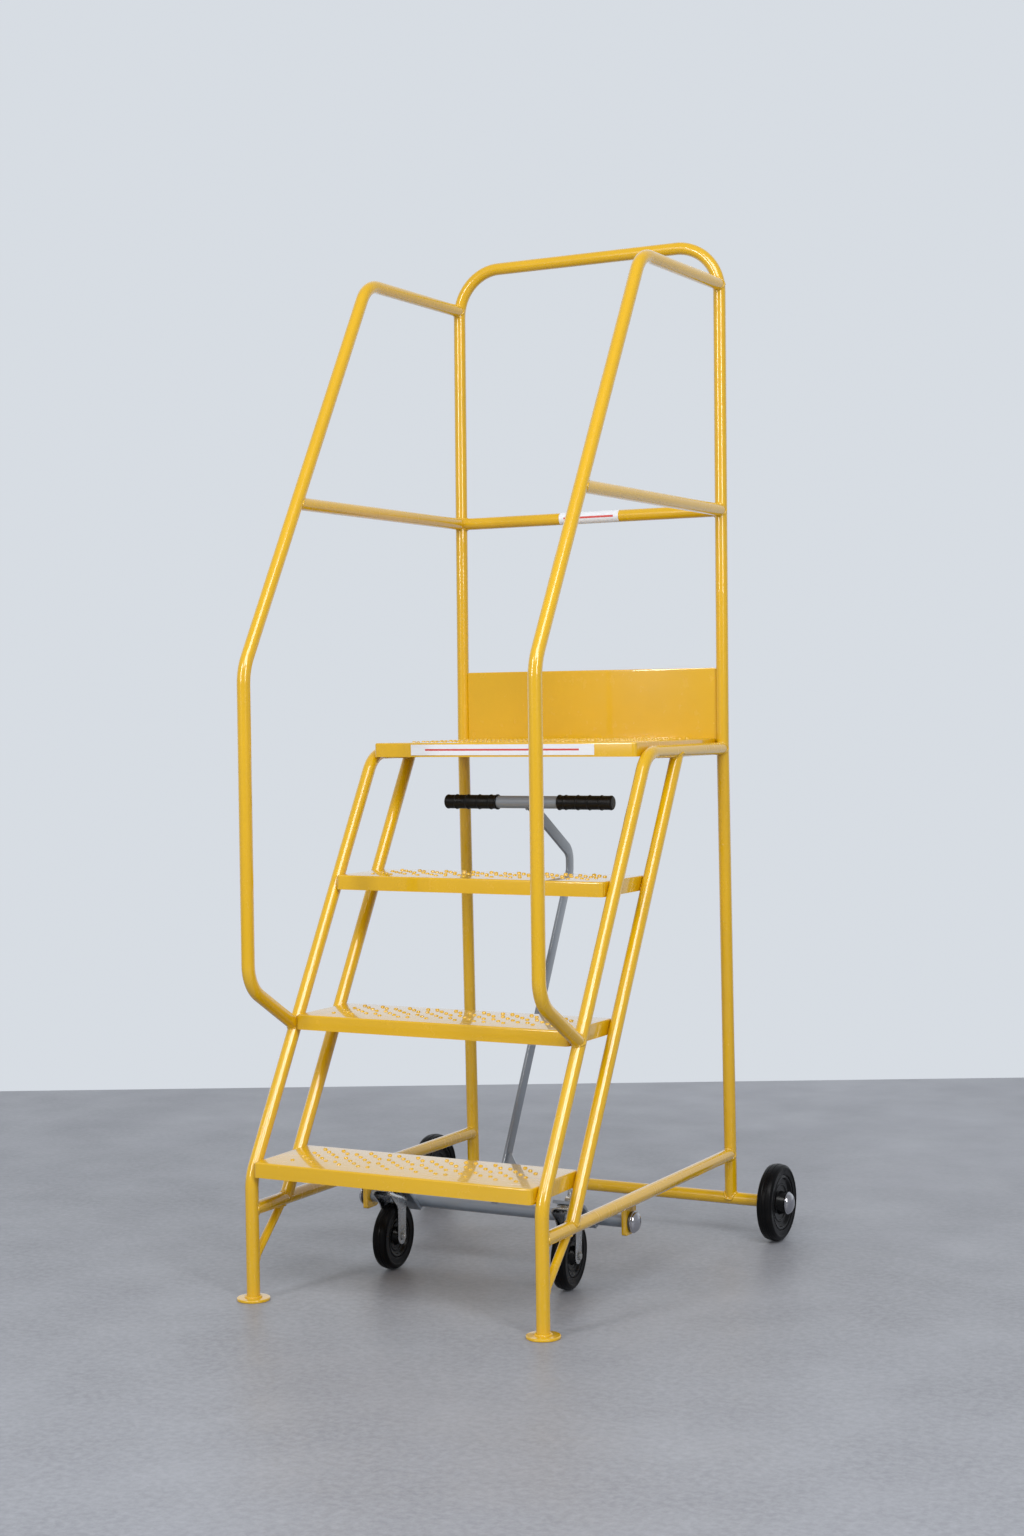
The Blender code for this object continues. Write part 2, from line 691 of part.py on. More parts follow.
def make_lever(lever):
    end = BRACKET_OUTER_X - BRACKET_THICKNESS - 0.001
    torsion_path = [Vector((-end, 0, 0)), Vector((end, 0, 0))]
    tube("torsion_tube", torsion_path, "grey_paint", parent=lever)
    pivot = at(PIVOT_DEPTH, PIVOT_HEIGHT)
    torsion_cutter = tube_cutter("cut_torsion_tube", torsion_path, location=pivot)

    handle_offset = Vector((0, HANDLE_DEPTH - PIVOT_DEPTH, HANDLE_HEIGHT - PIVOT_HEIGHT))
    half = HANDLE_HALF_LENGTH
    handle_path = [Vector((-half, 0, 0)), Vector((half, 0, 0))]
    tube("handle_tube", handle_path, "grey_paint", parent=lever, location=handle_offset)
    handle_cutter = tube_cutter("cut_handle_tube", handle_path, location=pivot + handle_offset)

    bar = plate(
        "lever_bar", [strip_outline(lever_bar_path(), LEVER_WIDTH)], LEVER_THICKNESS, "grey_paint",
        parent=lever, rotation=IN_SIDE_PLANE,
    )
    cope(bar, torsion_cutter)
    cope(bar, handle_cutter)

    lean = math.atan(LEVER_SLOPE)
    inner = LEVER_THICKNESS / 2 + GAP
    base = TUBE_RADIUS + GAP
    gusset_outline = [
        (inner, 0),
        (GUSSET_WIDTH, 0),
        (GUSSET_WIDTH, base + 0.006),
        (inner + 0.004, base + GUSSET_HEIGHT),
        (inner, base + GUSSET_HEIGHT),
    ]
    gusset = plate(
        "lever_gusset", [gusset_outline], LEVER_THICKNESS, "grey_paint",
        parent=lever, rotation=(math.pi / 2 - lean, 0, 0),
    )
    cope(gusset, torsion_cutter)

    for side, sign in SIDES.items():
        make_grip(side, sign, lever, handle_offset)


def make_grip(side, sign, lever, handle_offset):
    bore = TUBE_RADIUS + GAP
    recess = GRIP_LENGTH - 0.0025
    profile = [
        (0, GRIP_LENGTH),
        (GRIP_RADIUS - 0.004, GRIP_LENGTH),
        (GRIP_RADIUS - 0.0012, GRIP_LENGTH - 0.0012),
        (GRIP_RADIUS, GRIP_LENGTH - 0.004),
        (GRIP_RADIUS, 0.001),
        (GRIP_RADIUS - 0.001, 0),
        (bore, 0),
        (bore, recess),
        (0, recess),
    ]
    start = sign * (GRIP_END - GRIP_LENGTH)
    facing = AXIS_TO_RIGHT if sign > 0 else AXIS_TO_LEFT
    place = handle_offset + Vector((start, 0, 0))
    turned("grip_" + side, profile, False, "black_rubber", lever, place, facing, steps=24)


# ---------------------------------------------------------------- castors

def arm_path():
    """Side view of a castor arm about the pivot: a plate on the castor, then down to the tube."""
    back = Vector((math.cos(CASTOR_LEAN), -math.sin(CASTOR_LEAN), 0))
    down = Vector((-math.sin(CASTOR_LEAN), -math.cos(CASTOR_LEAN), 0))
    king = Vector((CASTOR_DEPTH - PIVOT_DEPTH, CASTOR_HEIGHT - PIVOT_HEIGHT, 0))
    middle = king + down * (CASTOR_ARM_THICKNESS / 2)
    front_edge = middle - back * CASTOR_ARM_HALF_PLATE
    bend = middle + back * CASTOR_ARM_HALF_PLATE
    clear = TUBE_RADIUS + GAP + CASTOR_ARM_THICKNESS / 2
    reach = bend.length
    heading = math.atan2(-bend.y, -bend.x) - math.asin(clear / reach)
    length = math.sqrt(reach * reach - clear * clear) + 0.006
    end = bend + Vector((math.cos(heading), math.sin(heading), 0)) * length
    return rounded_path([(front_edge, 0), (bend, 0.010), (end, 0)])


def fork_outline():
    """Side view of the fork about the king bolt: a long crown that sweeps down to straight legs."""
    axle = Vector((CASTOR_TRAIL, -CASTOR_DROP, 0))
    up = Vector((-math.sin(CASTOR_LEAN), math.cos(CASTOR_LEAN), 0))
    back = Vector((up.y, -up.x, 0)) * FORK_BOSS_RADIUS
    outline = [Vector((FORK_CROWN_REAR, FORK_TOP, 0)), Vector((FORK_CROWN_FRONT, FORK_TOP, 0))]
    outline += rounded_path([
        (Vector((FORK_CROWN_FRONT, FORK_TOP - 0.010, 0)), 0),
        (axle - back + up * 0.058, 0.024),
        (axle - back, 0),
    ])
    for step in range(1, 7):
        turn = math.pi * step / 6
        outline.append(axle - back * math.cos(turn) - up * (FORK_BOSS_RADIUS * math.sin(turn)))
    outline.append(axle + back + up * 0.050)
    return outline


def make_fork(name, swivel):
    """A bent U of sheet, trimmed to the side view."""
    low = -CASTOR_DROP - 0.013
    out = FORK_HALF_WIDTH
    inside = FORK_HALF_WIDTH - FORK_SHEET
    crown = FORK_TOP
    corner = FORK_SHOULDER
    outline = [
        (-out, low),
        (-inside, low),
        (-inside, crown - FORK_SHEET - corner / 2),
        (-inside + corner / 2, crown - FORK_SHEET),
        (inside - corner / 2, crown - FORK_SHEET),
        (inside, crown - FORK_SHEET - corner / 2),
        (inside, low),
        (out, low),
        (out, crown - corner),
        (out - corner, crown),
        (-out + corner, crown),
        (-out, crown - corner),
    ]
    fork = plate(name, [outline], 0.12, "zinc", parent=swivel, rotation=(math.pi / 2, 0, 0))
    bpy.context.view_layer.update()
    trim_mesh = plate_mesh(name + "_trim", fork_outline(), 0.08)
    trim = cutter_object(name + "_trim", trim_mesh, swivel.matrix_world @ euler_matrix(IN_SIDE_PLANE))
    keep = fork.modifiers.new("trim", "BOOLEAN")
    keep.operation = "INTERSECT"
    keep.solver = "EXACT"
    keep.object = trim
    axle_turn = Matrix.Translation((0, CASTOR_TRAIL, -CASTOR_DROP)) @ euler_matrix(AXIS_TO_RIGHT)
    bore_mesh = cone_mesh(name + "_axle_hole", AXLE_BOLT_RADIUS + 0.0006, 0.08)
    cope(fork, cutter_object(name + "_axle_hole", bore_mesh, swivel.matrix_world @ axle_turn))
    king_mesh = cone_mesh(name + "_king_hole", KING_BOLT_RADIUS + 0.0008, 0.06)
    cope(fork, cutter_object(name + "_king_hole", king_mesh, swivel.matrix_world))


def euler_matrix(angles):
    return Euler(angles).to_matrix().to_4x4()


def plate_mesh(name, outline, thickness):
    thing = plate(name, [outline], thickness, "zinc")
    mesh = thing.data
    bpy.data.objects.remove(thing)
    return mesh


def cone_mesh(name, radius, length):
    mesh = bpy.data.meshes.new(name)
    shape = bmesh.new()
    bmesh.ops.create_cone(
        shape, cap_ends=True, segments=SMALL_STEPS, radius1=radius, radius2=radius, depth=length
    )
    shape.to_mesh(mesh)
    shape.free()
    return mesh


def cutter_object(name, mesh, matrix):
    cutter = bpy.data.objects.new("cut_" + name, mesh)
    cutters.objects.link(cutter)
    cutter.matrix_world = matrix
    cutter.hide_render = True
    cutter.display_type = "WIRE"
    return cutter


def make_castor(side, lever):
    x = CASTOR_X[side]
    arm_name = "castor_arm_" + side
    arm = plate(
        arm_name, [strip_outline(arm_path(), CASTOR_ARM_THICKNESS)], CASTOR_ARM_WIDTH, "grey_paint",
        parent=lever, location=(x, 0, 0), rotation=IN_SIDE_PLANE,
    )
    king_place = (x, CASTOR_DEPTH - PIVOT_DEPTH, CASTOR_HEIGHT - PIVOT_HEIGHT)
    king = add_empty("castor_king_" + side, king_place, lever, (-CASTOR_LEAN, 0, 0))
    bpy.context.view_layer.update()
    hole = cone_mesh(arm_name + "_hole", KING_BOLT_RADIUS + 0.0006, 0.04)
    cope(arm, cutter_object(arm_name + "_hole", hole, king.matrix_world))

    nut = [(0.0095, 0.0092), (0.0095, GAP), (0.0062, GAP), (0.0062, 0.0092)]
    turned("castor_nut_" + side, nut, True, "zinc", king, (0, 0, 0), (0, 0, 0), steps=6)
    head = [
        (0.018, CASTOR_HEAD_TOP),
        (0.022, CASTOR_HEAD_TOP - 0.003),
        (0.022, CASTOR_HEAD_BOTTOM),
        (KING_BOLT_RADIUS + 0.0006, CASTOR_HEAD_BOTTOM),
        (KING_BOLT_RADIUS + 0.0006, CASTOR_HEAD_TOP),
    ]
    turned("castor_head_" + side, head, True, "zinc", king, (0, 0, 0), (0, 0, 0), steps=24)
    rivet_top = FORK_TOP - FORK_SHEET - GAP
    bolt = [
        (0, 0.024),
        (KING_BOLT_RADIUS, 0.024),
        (KING_BOLT_RADIUS, rivet_top),
        (0.010, rivet_top),
        (0.010, rivet_top - 0.004),
        (0, rivet_top - 0.004),
    ]
    turned("castor_king_bolt_" + side, bolt, False, "zinc", king, (0, 0, 0), (0, 0, 0), steps=SMALL_STEPS)

    swivel = add_empty("castor_swivel_" + side, (0, 0, 0), king, (0, 0, CASTOR_SWIVEL[side]))
    bpy.context.view_layer.update()
    make_fork("castor_fork_" + side, swivel)

    axle = add_empty("castor_wheel_" + side, (0, CASTOR_TRAIL, -CASTOR_DROP), swivel)
    nut_start = FORK_HALF_WIDTH + GAP
    nut_end = nut_start + 0.005
    bolt = [
        (0, nut_end),
        (0.0065, nut_end),
        (0.0065, nut_start),
        (AXLE_BOLT_RADIUS, nut_start),
        (AXLE_BOLT_RADIUS, -nut_start),
        (0.0065, -nut_start),
        (0.0065, -nut_end),
        (0, -nut_end),
    ]
    turned(
        "castor_axle_bolt_" + side, bolt, False, "zinc", axle, (0, 0, 0), AXIS_TO_RIGHT, steps=SMALL_STEPS
    )
    tyre = tyre_profile(CASTOR_RADIUS, CASTOR_RIM_RADIUS, CASTOR_TYRE_WIDTH)
    turned("castor_tyre_" + side, tyre, True, "black_rubber", axle, (0, 0, 0), AXIS_TO_RIGHT)
    rim = rim_profile(
        CASTOR_RIM_RADIUS - GAP, CASTOR_TYRE_WIDTH - 0.004, CASTOR_HUB_RADIUS, CASTOR_HUB_WIDTH,
        AXLE_BOLT_RADIUS + 0.0006,
    )
    turned("castor_rim_" + side, rim, True, "black_plastic", axle, (0, 0, 0), AXIS_TO_RIGHT)


# ---------------------------------------------------------------- assembly

clear_scene()
make_materials()
parts = new_collection("mobile_ladder_stand")
cutters = new_collection("cutters")

make_frame_tubes()
make_treads()
make_platform()
make_stickers()
make_feet()
make_rear_wheels()
make_lever_pivot()
lever_empty = add_empty("hand_lever", at(PIVOT_DEPTH, PIVOT_HEIGHT))
bpy.context.view_layer.update()
make_lever(lever_empty)
for side_name in SIDES:
    make_castor(side_name, lever_empty)
bpy.context.view_layer.update()
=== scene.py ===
import json
import math

import bmesh
import bpy
from mathutils import Matrix, Vector


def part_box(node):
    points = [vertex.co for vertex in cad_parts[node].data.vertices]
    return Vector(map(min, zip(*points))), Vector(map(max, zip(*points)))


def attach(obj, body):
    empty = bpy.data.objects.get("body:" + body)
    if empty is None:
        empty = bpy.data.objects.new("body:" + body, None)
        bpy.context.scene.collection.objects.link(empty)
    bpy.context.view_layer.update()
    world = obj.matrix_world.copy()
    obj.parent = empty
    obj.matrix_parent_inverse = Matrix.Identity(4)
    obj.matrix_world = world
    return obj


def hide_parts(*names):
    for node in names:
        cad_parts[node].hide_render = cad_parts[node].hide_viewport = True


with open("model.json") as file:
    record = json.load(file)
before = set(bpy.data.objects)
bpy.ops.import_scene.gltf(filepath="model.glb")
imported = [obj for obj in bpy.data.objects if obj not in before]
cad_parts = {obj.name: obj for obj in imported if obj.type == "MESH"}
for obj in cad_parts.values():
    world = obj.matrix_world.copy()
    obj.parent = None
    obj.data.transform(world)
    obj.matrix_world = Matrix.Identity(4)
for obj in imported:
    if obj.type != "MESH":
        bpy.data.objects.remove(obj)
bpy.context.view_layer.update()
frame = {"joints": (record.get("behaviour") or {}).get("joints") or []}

SIDES = {"left": -1, "right": 1}
JOINTS = {joint["name"]: joint for joint in frame["joints"]}


# ---------------------------------------------------------------- measures from the frame

def middle(node):
    low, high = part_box(node)
    return (low + high) / 2


def extent(node):
    low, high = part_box(node)
    return high - low


TUBE = extent("torsion_tube").z / 2
BRACE = extent("leg_brace_right").x / 2
SIDE_X = middle("foot_right").x
FRONT_Y = middle("foot_right").y
FOOT_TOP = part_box("foot_right")[1].z
HOOP_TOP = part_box("guardrail_hoop")[1].z - TUBE
AXLE = middle("rear_axle_tube")
RAIL_HEIGHT = middle("side_rail_right").z
MID_HEIGHT = middle("rear_mid_rail").z
HAND_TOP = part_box("handrail_right")[1].z - TUBE
DECK_TUBE_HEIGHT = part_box("leg_stringer_right")[1].z - TUBE
PIVOT = Vector(JOINTS["lever_pivot"]["pos_m"])
HANDLE = middle("handle_tube")

# The stand's own slopes and bend radii
TREAD_NAMES = ("tread_1", "tread_2", "tread_3")
TREAD_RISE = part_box("tread_2")[1].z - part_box("tread_1")[1].z
TREAD_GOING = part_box("tread_2")[0].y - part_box("tread_1")[0].y
SLOPE = TREAD_GOING / TREAD_RISE
UP_SLOPE = Vector((0, SLOPE, 1)).normalized()
STRINGER_KNEE = 0.228
STRINGER_KNEE_RADIUS = 0.09
DECK_BEND_RADIUS = 0.065
REAR_STRINGER_OFFSET = 0.1475
BRACE_LEG_HEIGHT = 0.069
BRACE_RAIL_DEPTH = 0.105
POST_DEPTH = 0.827
GUARDRAIL_LEAN = 0.0085
HOOP_BEND_RADIUS = 0.095
HOOP_KINK_RADIUS = 0.4
HANDRAIL_START_HEIGHT = 0.490
HANDRAIL_FOOT_RADIUS = 0.07
HANDRAIL_KNEE = 1.1645
HANDRAIL_KNEE_RADIUS = 0.10
HANDRAIL_TOP_RADIUS = 0.07

FINE_BEND = math.radians(4)
TUBE_ROUNDING = 8
TYRE_STEPS = 128
WELD = 0.0023
WELD_RIPPLE = 0.0034
WELD_DRIFT = 0.023
WELD_STEP = 0.0009


def at(depth, height, x=0.0):
    """World point of a side-view place, depth measured back from the front legs."""
    return Vector((x, FRONT_Y + depth, height))


def stringer_depth(height):
    return (height - STRINGER_KNEE) * SLOPE


def handrail_depth(height):
    return (height - HANDRAIL_KNEE) * SLOPE


def post_depth(height):
    """The rear posts lean back a little, both above and below the platform."""
    if height < DECK_TUBE_HEIGHT:
        splay = AXLE.y - FRONT_Y - POST_DEPTH
        return POST_DEPTH + splay * (DECK_TUBE_HEIGHT - height) / (DECK_TUBE_HEIGHT - AXLE.z)
    return POST_DEPTH + GUARDRAIL_LEAN * (height - DECK_TUBE_HEIGHT) / (HOOP_TOP - DECK_TUBE_HEIGHT)


# ---------------------------------------------------------------- shader helpers

class Shader:
    """A node material built step by step around one Principled shader."""

    def __init__(self, name, colour, roughness, metallic=0.0):
        self.material = bpy.data.materials.new(name)
        self.material.use_nodes = True
        self.material.diffuse_color = (*colour, 1)
        self.tree = self.material.node_tree
        self.shader = self.tree.nodes["Principled BSDF"]
        self.shader.inputs["Base Color"].default_value = (*colour, 1)
        self.shader.inputs["Roughness"].default_value = roughness
        self.shader.inputs["Metallic"].default_value = metallic
        self.place = self.node("ShaderNodeTexCoord").outputs["Object"]

    def node(self, kind, **settings):
        made = self.tree.nodes.new(kind)
        for key, value in settings.items():
            setattr(made, key, value)
        return made

    def link(self, source, target):
        self.tree.links.new(source, target)

    def noise(self, scale, detail=3.0, roughness=0.5, stretch=(1, 1, 1)):
        mapping = self.node("ShaderNodeMapping")
        mapping.inputs["Scale"].default_value = stretch
        self.link(self.place, mapping.inputs["Vector"])
        noise = self.node("ShaderNodeTexNoise")
        noise.inputs["Scale"].default_value = scale
        noise.inputs["Detail"].default_value = detail
        noise.inputs["Roughness"].default_value = roughness
        self.link(mapping.outputs["Vector"], noise.inputs["Vector"])
        return noise.outputs["Fac"]

    def spread(self, value, low, high, to_low, to_high):
        """Map the stretch low..high of a value onto to_low..to_high, clamped."""
        scale = self.node("ShaderNodeMapRange")
        scale.inputs["From Min"].default_value = low
        scale.inputs["From Max"].default_value = high
        scale.inputs["To Min"].default_value = to_low
        scale.inputs["To Max"].default_value = to_high
        self.link(value, scale.inputs["Value"])
        return scale.outputs["Result"]

    def tint(self, colours, factor):
        """Mix two colours by a factor."""
        mix = self.node("ShaderNodeMix", data_type="RGBA")
        self.link(factor, mix.inputs["Factor"])
        for socket, colour in zip((mix.inputs[6], mix.inputs[7]), colours):
            if isinstance(colour, tuple):
                socket.default_value = (*colour, 1)
            else:
                self.link(colour, socket)
        return mix.outputs[2]

    def math(self, operation, first, second):
        made = self.node("ShaderNodeMath", operation=operation)
        for socket, value in zip(made.inputs, (first, second)):
            if isinstance(value, (int, float)):
                socket.default_value = value
            else:
                self.link(value, socket)
        return made.outputs[0]

    def colour(self, value):
        self.link(value, self.shader.inputs["Base Color"])

    def roughness(self, value):
        self.link(value, self.shader.inputs["Roughness"])

    def bump(self, height, strength, distance, coat=False):
        made = self.node("ShaderNodeBump")
        made.inputs["Strength"].default_value = strength
        made.inputs["Distance"].default_value = distance
        self.link(height, made.inputs["Height"])
        self.link(made.outputs["Normal"], self.shader.inputs["Normal"])
        if coat:
            self.link(made.outputs["Normal"], self.shader.inputs["Coat Normal"])

    def coat(self, weight, roughness, ior=1.5):
        self.shader.inputs["Coat Weight"].default_value = weight
        self.shader.inputs["Coat Roughness"].default_value = roughness
        self.shader.inputs["Coat IOR"].default_value = ior


def shade(colour, factor):
    return tuple(channel * factor for channel in colour)


def paint(name, colour, roughness, coat_ior, wear_colour):
    """Gloss enamel: slight shade changes, faint orange peel, hairline scuffs and a few specks of wear."""
    made = Shader(name, colour, roughness)
    cloud = made.spread(made.noise(5.0, 4.0), 0.3, 0.7, 0.0, 1.0)
    base = made.tint((shade(colour, 0.96), shade(colour, 1.03)), cloud)
    specks = made.spread(made.noise(95.0, 6.0, 0.7), 0.74, 0.765, 0.0, 0.6)
    made.colour(made.tint((base, wear_colour), specks))
    scuffs = made.spread(made.noise(30.0, 5.0, 0.65, stretch=(1.0, 5.0, 1.0)), 0.5, 0.75, 0.0, 0.12)
    made.roughness(made.math("ADD", scuffs, roughness))
    made.bump(made.noise(130.0, 2.0), 0.08, 0.0003, coat=True)
    made.coat(1.0, 0.02, coat_ior)
    return made.material


def rubber(name, colour, roughness, dust_share, gloss):
    """Moulded rubber with a thin bloom of dust and a fine skin texture."""
    made = Shader(name, colour, roughness)
    made.shader.inputs["Specular IOR Level"].default_value = gloss
    dust = made.spread(made.noise(14.0, 6.0, 0.65), 0.48, 0.78, 0.0, dust_share)
    made.colour(made.tint((colour, (0.060, 0.058, 0.056)), dust))
    made.roughness(made.spread(made.noise(40.0, 4.0), 0.3, 0.7, roughness - 0.08, roughness + 0.10))
    made.bump(made.noise(700.0, 3.0), 0.12, 0.0003)
    return made.material


def plated(name, colour, roughness, grain, tarnish):
    """Plated steel: cloudy roughness, fine drawn grain and a little tarnish."""
    made = Shader(name, colour, roughness, metallic=1.0)
    cloud = made.spread(made.noise(18.0, 5.0, 0.6), 0.4, 0.75, 0.0, 1.0)
    made.colour(made.tint((colour, tarnish), cloud))
    made.roughness(made.spread(made.noise(60.0, 4.0), 0.3, 0.7, roughness * 0.7, roughness * 1.5))
    made.bump(made.noise(420.0, 3.0, 0.6, stretch=(1.0, 1.0, 6.0)), grain, 0.0003)
    return made.material


def vinyl():
    """White sticker with one plain red line along its middle."""
    white = (0.80, 0.82, 0.86)
    made = Shader("white_vinyl_sticker", white, 0.30)
    made.place = made.node("ShaderNodeTexCoord").outputs["Generated"]
    split = made.node("ShaderNodeSeparateXYZ")
    made.link(made.place, split.inputs["Vector"])
    across = made.math("ABSOLUTE", made.math("SUBTRACT", split.outputs["Z"], 0.5), 0.0)
    along = made.math("ABSOLUTE", made.math("SUBTRACT", split.outputs["X"], 0.5), 0.0)
    line = made.math("MULTIPLY", made.math("LESS_THAN", across, 0.085), made.math("LESS_THAN", along, 0.42))
    dirt = made.spread(made.noise(5.0, 6.0, 0.6), 0.45, 0.8, 0.0, 0.35)
    ground = made.tint((white, (0.66, 0.66, 0.65)), dirt)
    made.colour(made.tint((ground, (0.62, 0.06, 0.05)), line))
    made.roughness(made.spread(made.noise(9.0, 4.0), 0.3, 0.7, 0.25, 0.4))
    made.bump(made.noise(60.0, 3.0), 0.08, 0.0003)
    return made.material


YELLOW = paint("yellow_enamel", (0.74, 0.428, 0.002), 0.22, 1.5, (0.45, 0.20, 0.02))
GREY = paint("blue_grey_enamel", (0.215, 0.250, 0.300), 0.30, 1.5, (0.08, 0.085, 0.09))
TYRE = rubber("tyre_rubber", (0.0030, 0.0030, 0.0035), 0.34, 0.07, 0.12)
GRIP = rubber("grip_rubber", (0.0050, 0.0046, 0.0046), 0.32, 0.09, 0.24)
MOULDED = rubber("moulded_black_plastic", (0.0035, 0.0035, 0.004), 0.24, 0.07, 0.20)
CHROME = plated("chrome_plate", (0.50, 0.50, 0.53), 0.11, 0.02, (0.38, 0.38, 0.41))
ZINC = plated("bright_zinc", (0.64, 0.66, 0.68), 0.24, 0.10, (0.46, 0.45, 0.42))
STEEL = plated("dull_steel", (0.15, 0.15, 0.155), 0.38, 0.15, (0.09, 0.085, 0.08))
VINYL = vinyl()


# ---------------------------------------------------------------- shape helpers

def finish_mesh(mesh, material, sharp=35):
    mesh.materials.clear()
    mesh.materials.append(material)
    mesh.shade_smooth()
    mesh.set_sharp_from_angle(angle=math.radians(sharp))
    return mesh


def piece(name, mesh, body, nodes=(), matrix=None):
    """Put a mesh in the scene as a piece that rides on a CAD body and stands for CAD nodes."""
    if matrix is not None:
        mesh.transform(matrix)
    made = scratch_object(name, mesh)
    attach(made, body)
    if nodes:
        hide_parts(*nodes)
    return made


def evaluated_mesh(thing, name):
    """The mesh of an object with its modifiers applied; the object itself goes."""
    bpy.context.view_layer.update()
    depsgraph = bpy.context.evaluated_depsgraph_get()
    mesh = bpy.data.meshes.new_from_object(thing.evaluated_get(depsgraph))
    mesh.name = name
    bpy.data.objects.remove(thing)
    return mesh


def scratch_object(name, data):
    made = bpy.data.objects.new(name, data)
    bpy.context.scene.collection.objects.link(made)
    return made


def mesh_from(shape, name):
    """A mesh made of a bmesh, which is freed."""
    mesh = bpy.data.meshes.new(name)
    shape.to_mesh(mesh)
    shape.free()
    return mesh


def add_sheet(shape, name, thickness, upward):
    """A surface thickened behind the side that faces a direction."""
    bmesh.ops.recalc_face_normals(shape, faces=shape.faces)
    mesh = mesh_from(shape, name)
    if max(mesh.polygons, key=lambda face: face.area).normal.dot(upward) < 0:
        mesh.flip_normals()
    holder = scratch_object(name, mesh)
    sheet = holder.modifiers.new("sheet", "SOLIDIFY")
    sheet.thickness = thickness
    sheet.offset = -1
    return evaluated_mesh(holder, name)


def join_rings(shape, lower, upper):
    """Faces between two rings of the same number of points."""
    for step in range(len(lower)):
        after = (step + 1) % len(lower)
        shape.faces.new((lower[step], lower[after], upper[after], upper[step]))


def mirrored(right, skip=0):
    """A turned profile with both faces alike, from the points of one."""
    left = [(radius, -height, rounding) for radius, height, rounding in reversed(right[skip:])]
    return soft_profile(left + right)


def shaft(name, node, centre, body, material=YELLOW, radius=TUBE, shorten=0.0):
    """A straight cross tube or rod along X, as long as its node less what its caps hide."""
    half = Vector((extent(node).x / 2 - shorten, 0, 0))
    tube(name, [centre - half, centre + half], body, [node], material, radius)


def welded(mesh):
    shape = bmesh.new()
    shape.from_mesh(mesh)
    bmesh.ops.remove_doubles(shape, verts=shape.verts, dist=0.00002)
    bmesh.ops.recalc_face_normals(shape, faces=shape.faces)
    shape.to_mesh(mesh)
    shape.free()
    return mesh


def rounded_path(corners, step=FINE_BEND):
    """Points of a bent centreline. Each corner is (point, bend radius)."""
    points = [Vector(corners[0][0])]
    for (before, _), (corner, radius), (after, _) in zip(corners, corners[1:], corners[2:]):
        before, corner, after = Vector(before), Vector(corner), Vector(after)
        arriving = (corner - before).normalized()
        leaving = (after - corner).normalized()
        turn = arriving.angle(leaving)
        if radius == 0 or turn < 0.001:
            points.append(corner)
            continue
        inward = (leaving - arriving).normalized()
        centre = corner + inward * (radius / math.cos(turn / 2))
        axis = arriving.cross(leaving).normalized()
        start = corner - arriving * (radius * math.tan(turn / 2)) - centre
        steps = max(2, math.ceil(turn / step))
        for index in range(steps + 1):
            points.append(centre + Matrix.Rotation(turn * index / steps, 3, axis) @ start)
    points.append(Vector(corners[-1][0]))
    return points


def rounded_loop(corners, step=math.radians(12)):
    """A closed outline in the XY plane with each corner rounded: corners are (x, y, radius)."""
    flat = [((x, y, 0), radius) for x, y, radius in corners]
    closed = [flat[-1]] + flat + [flat[0]]
    return rounded_path(closed, step)[1:-1]


def add_spline(curve, points, cyclic=False, radii=None):
    spline = curve.splines.new("POLY")
    spline.points.add(len(points) - 1)
    spline.use_cyclic_u = cyclic
    for index, point in enumerate(points):
        spline.points[index].co = (point[0], point[1], point[2] if len(point) > 2 else 0, 1)
        if radii:
            spline.points[index].radius = radii[index]


def tube(name, points, body, nodes, material=YELLOW, radius=TUBE):
    curve = bpy.data.curves.new(name, "CURVE")
    curve.dimensions = "3D"
    curve.bevel_depth = radius
    curve.bevel_resolution = TUBE_ROUNDING
    curve.use_fill_caps = True
    add_spline(curve, points)
    mesh = welded(evaluated_mesh(scratch_object(name, curve), name))
    piece(name, finish_mesh(mesh, material), body, nodes)


def plate_mesh(name, outlines, thickness, material, edge=0.0008):
    """A flat plate with rounded edges in the XY plane: first the outline, then its holes."""
    curve = bpy.data.curves.new(name, "CURVE")
    curve.dimensions = "2D"
    curve.fill_mode = "BOTH"
    curve.extrude = thickness / 2 - edge
    curve.bevel_depth = edge
    curve.bevel_resolution = 2
    curve.offset = -edge
    for outline in outlines:
        add_spline(curve, outline, cyclic=True)
    mesh = welded(evaluated_mesh(scratch_object(name, curve), name))
    return finish_mesh(mesh, material)


def lathe_mesh(name, profile, material, closed=False, steps=96, sharp=35):
    """A turned shape about local Z from (radius, height) points; points at radius 0 close it."""
    shape = bmesh.new()
    rings = []
    for radius, height in profile:
        if radius < 1e-6:
            rings.append([shape.verts.new((0, 0, height))])
            continue
        rings.append([shape.verts.new((x, y, height)) for x, y in circle(radius, steps=steps)])
    pairs = list(zip(rings, rings[1:]))
    if closed:
        pairs.append((rings[-1], rings[0]))
    for first, second in pairs:
        for step in range(steps):
            after = (step + 1) % steps
            corners = [first[step % len(first)], first[after % len(first)]]
            corners += [second[after % len(second)], second[step % len(second)]]
            corners = list(dict.fromkeys(corners))
            if len(corners) > 2:
                shape.faces.new(corners)
    bmesh.ops.recalc_face_normals(shape, faces=shape.faces)
    return finish_mesh(mesh_from(shape, name), material, sharp)


def turned(name, profile, material, body, nodes, place, **settings):
    """A turned piece put in its place."""
    piece(name, lathe_mesh(name, profile, material, **settings), body, nodes, place)


def soft_profile(corners, step=math.radians(15)):
    """A turned profile with rounded corners: each is (radius, height, rounding)."""
    path = rounded_path([((radius, height, 0), rounding) for radius, height, rounding in corners], step)
    return [(max(point.x, 0.0), point.y) for point in path]


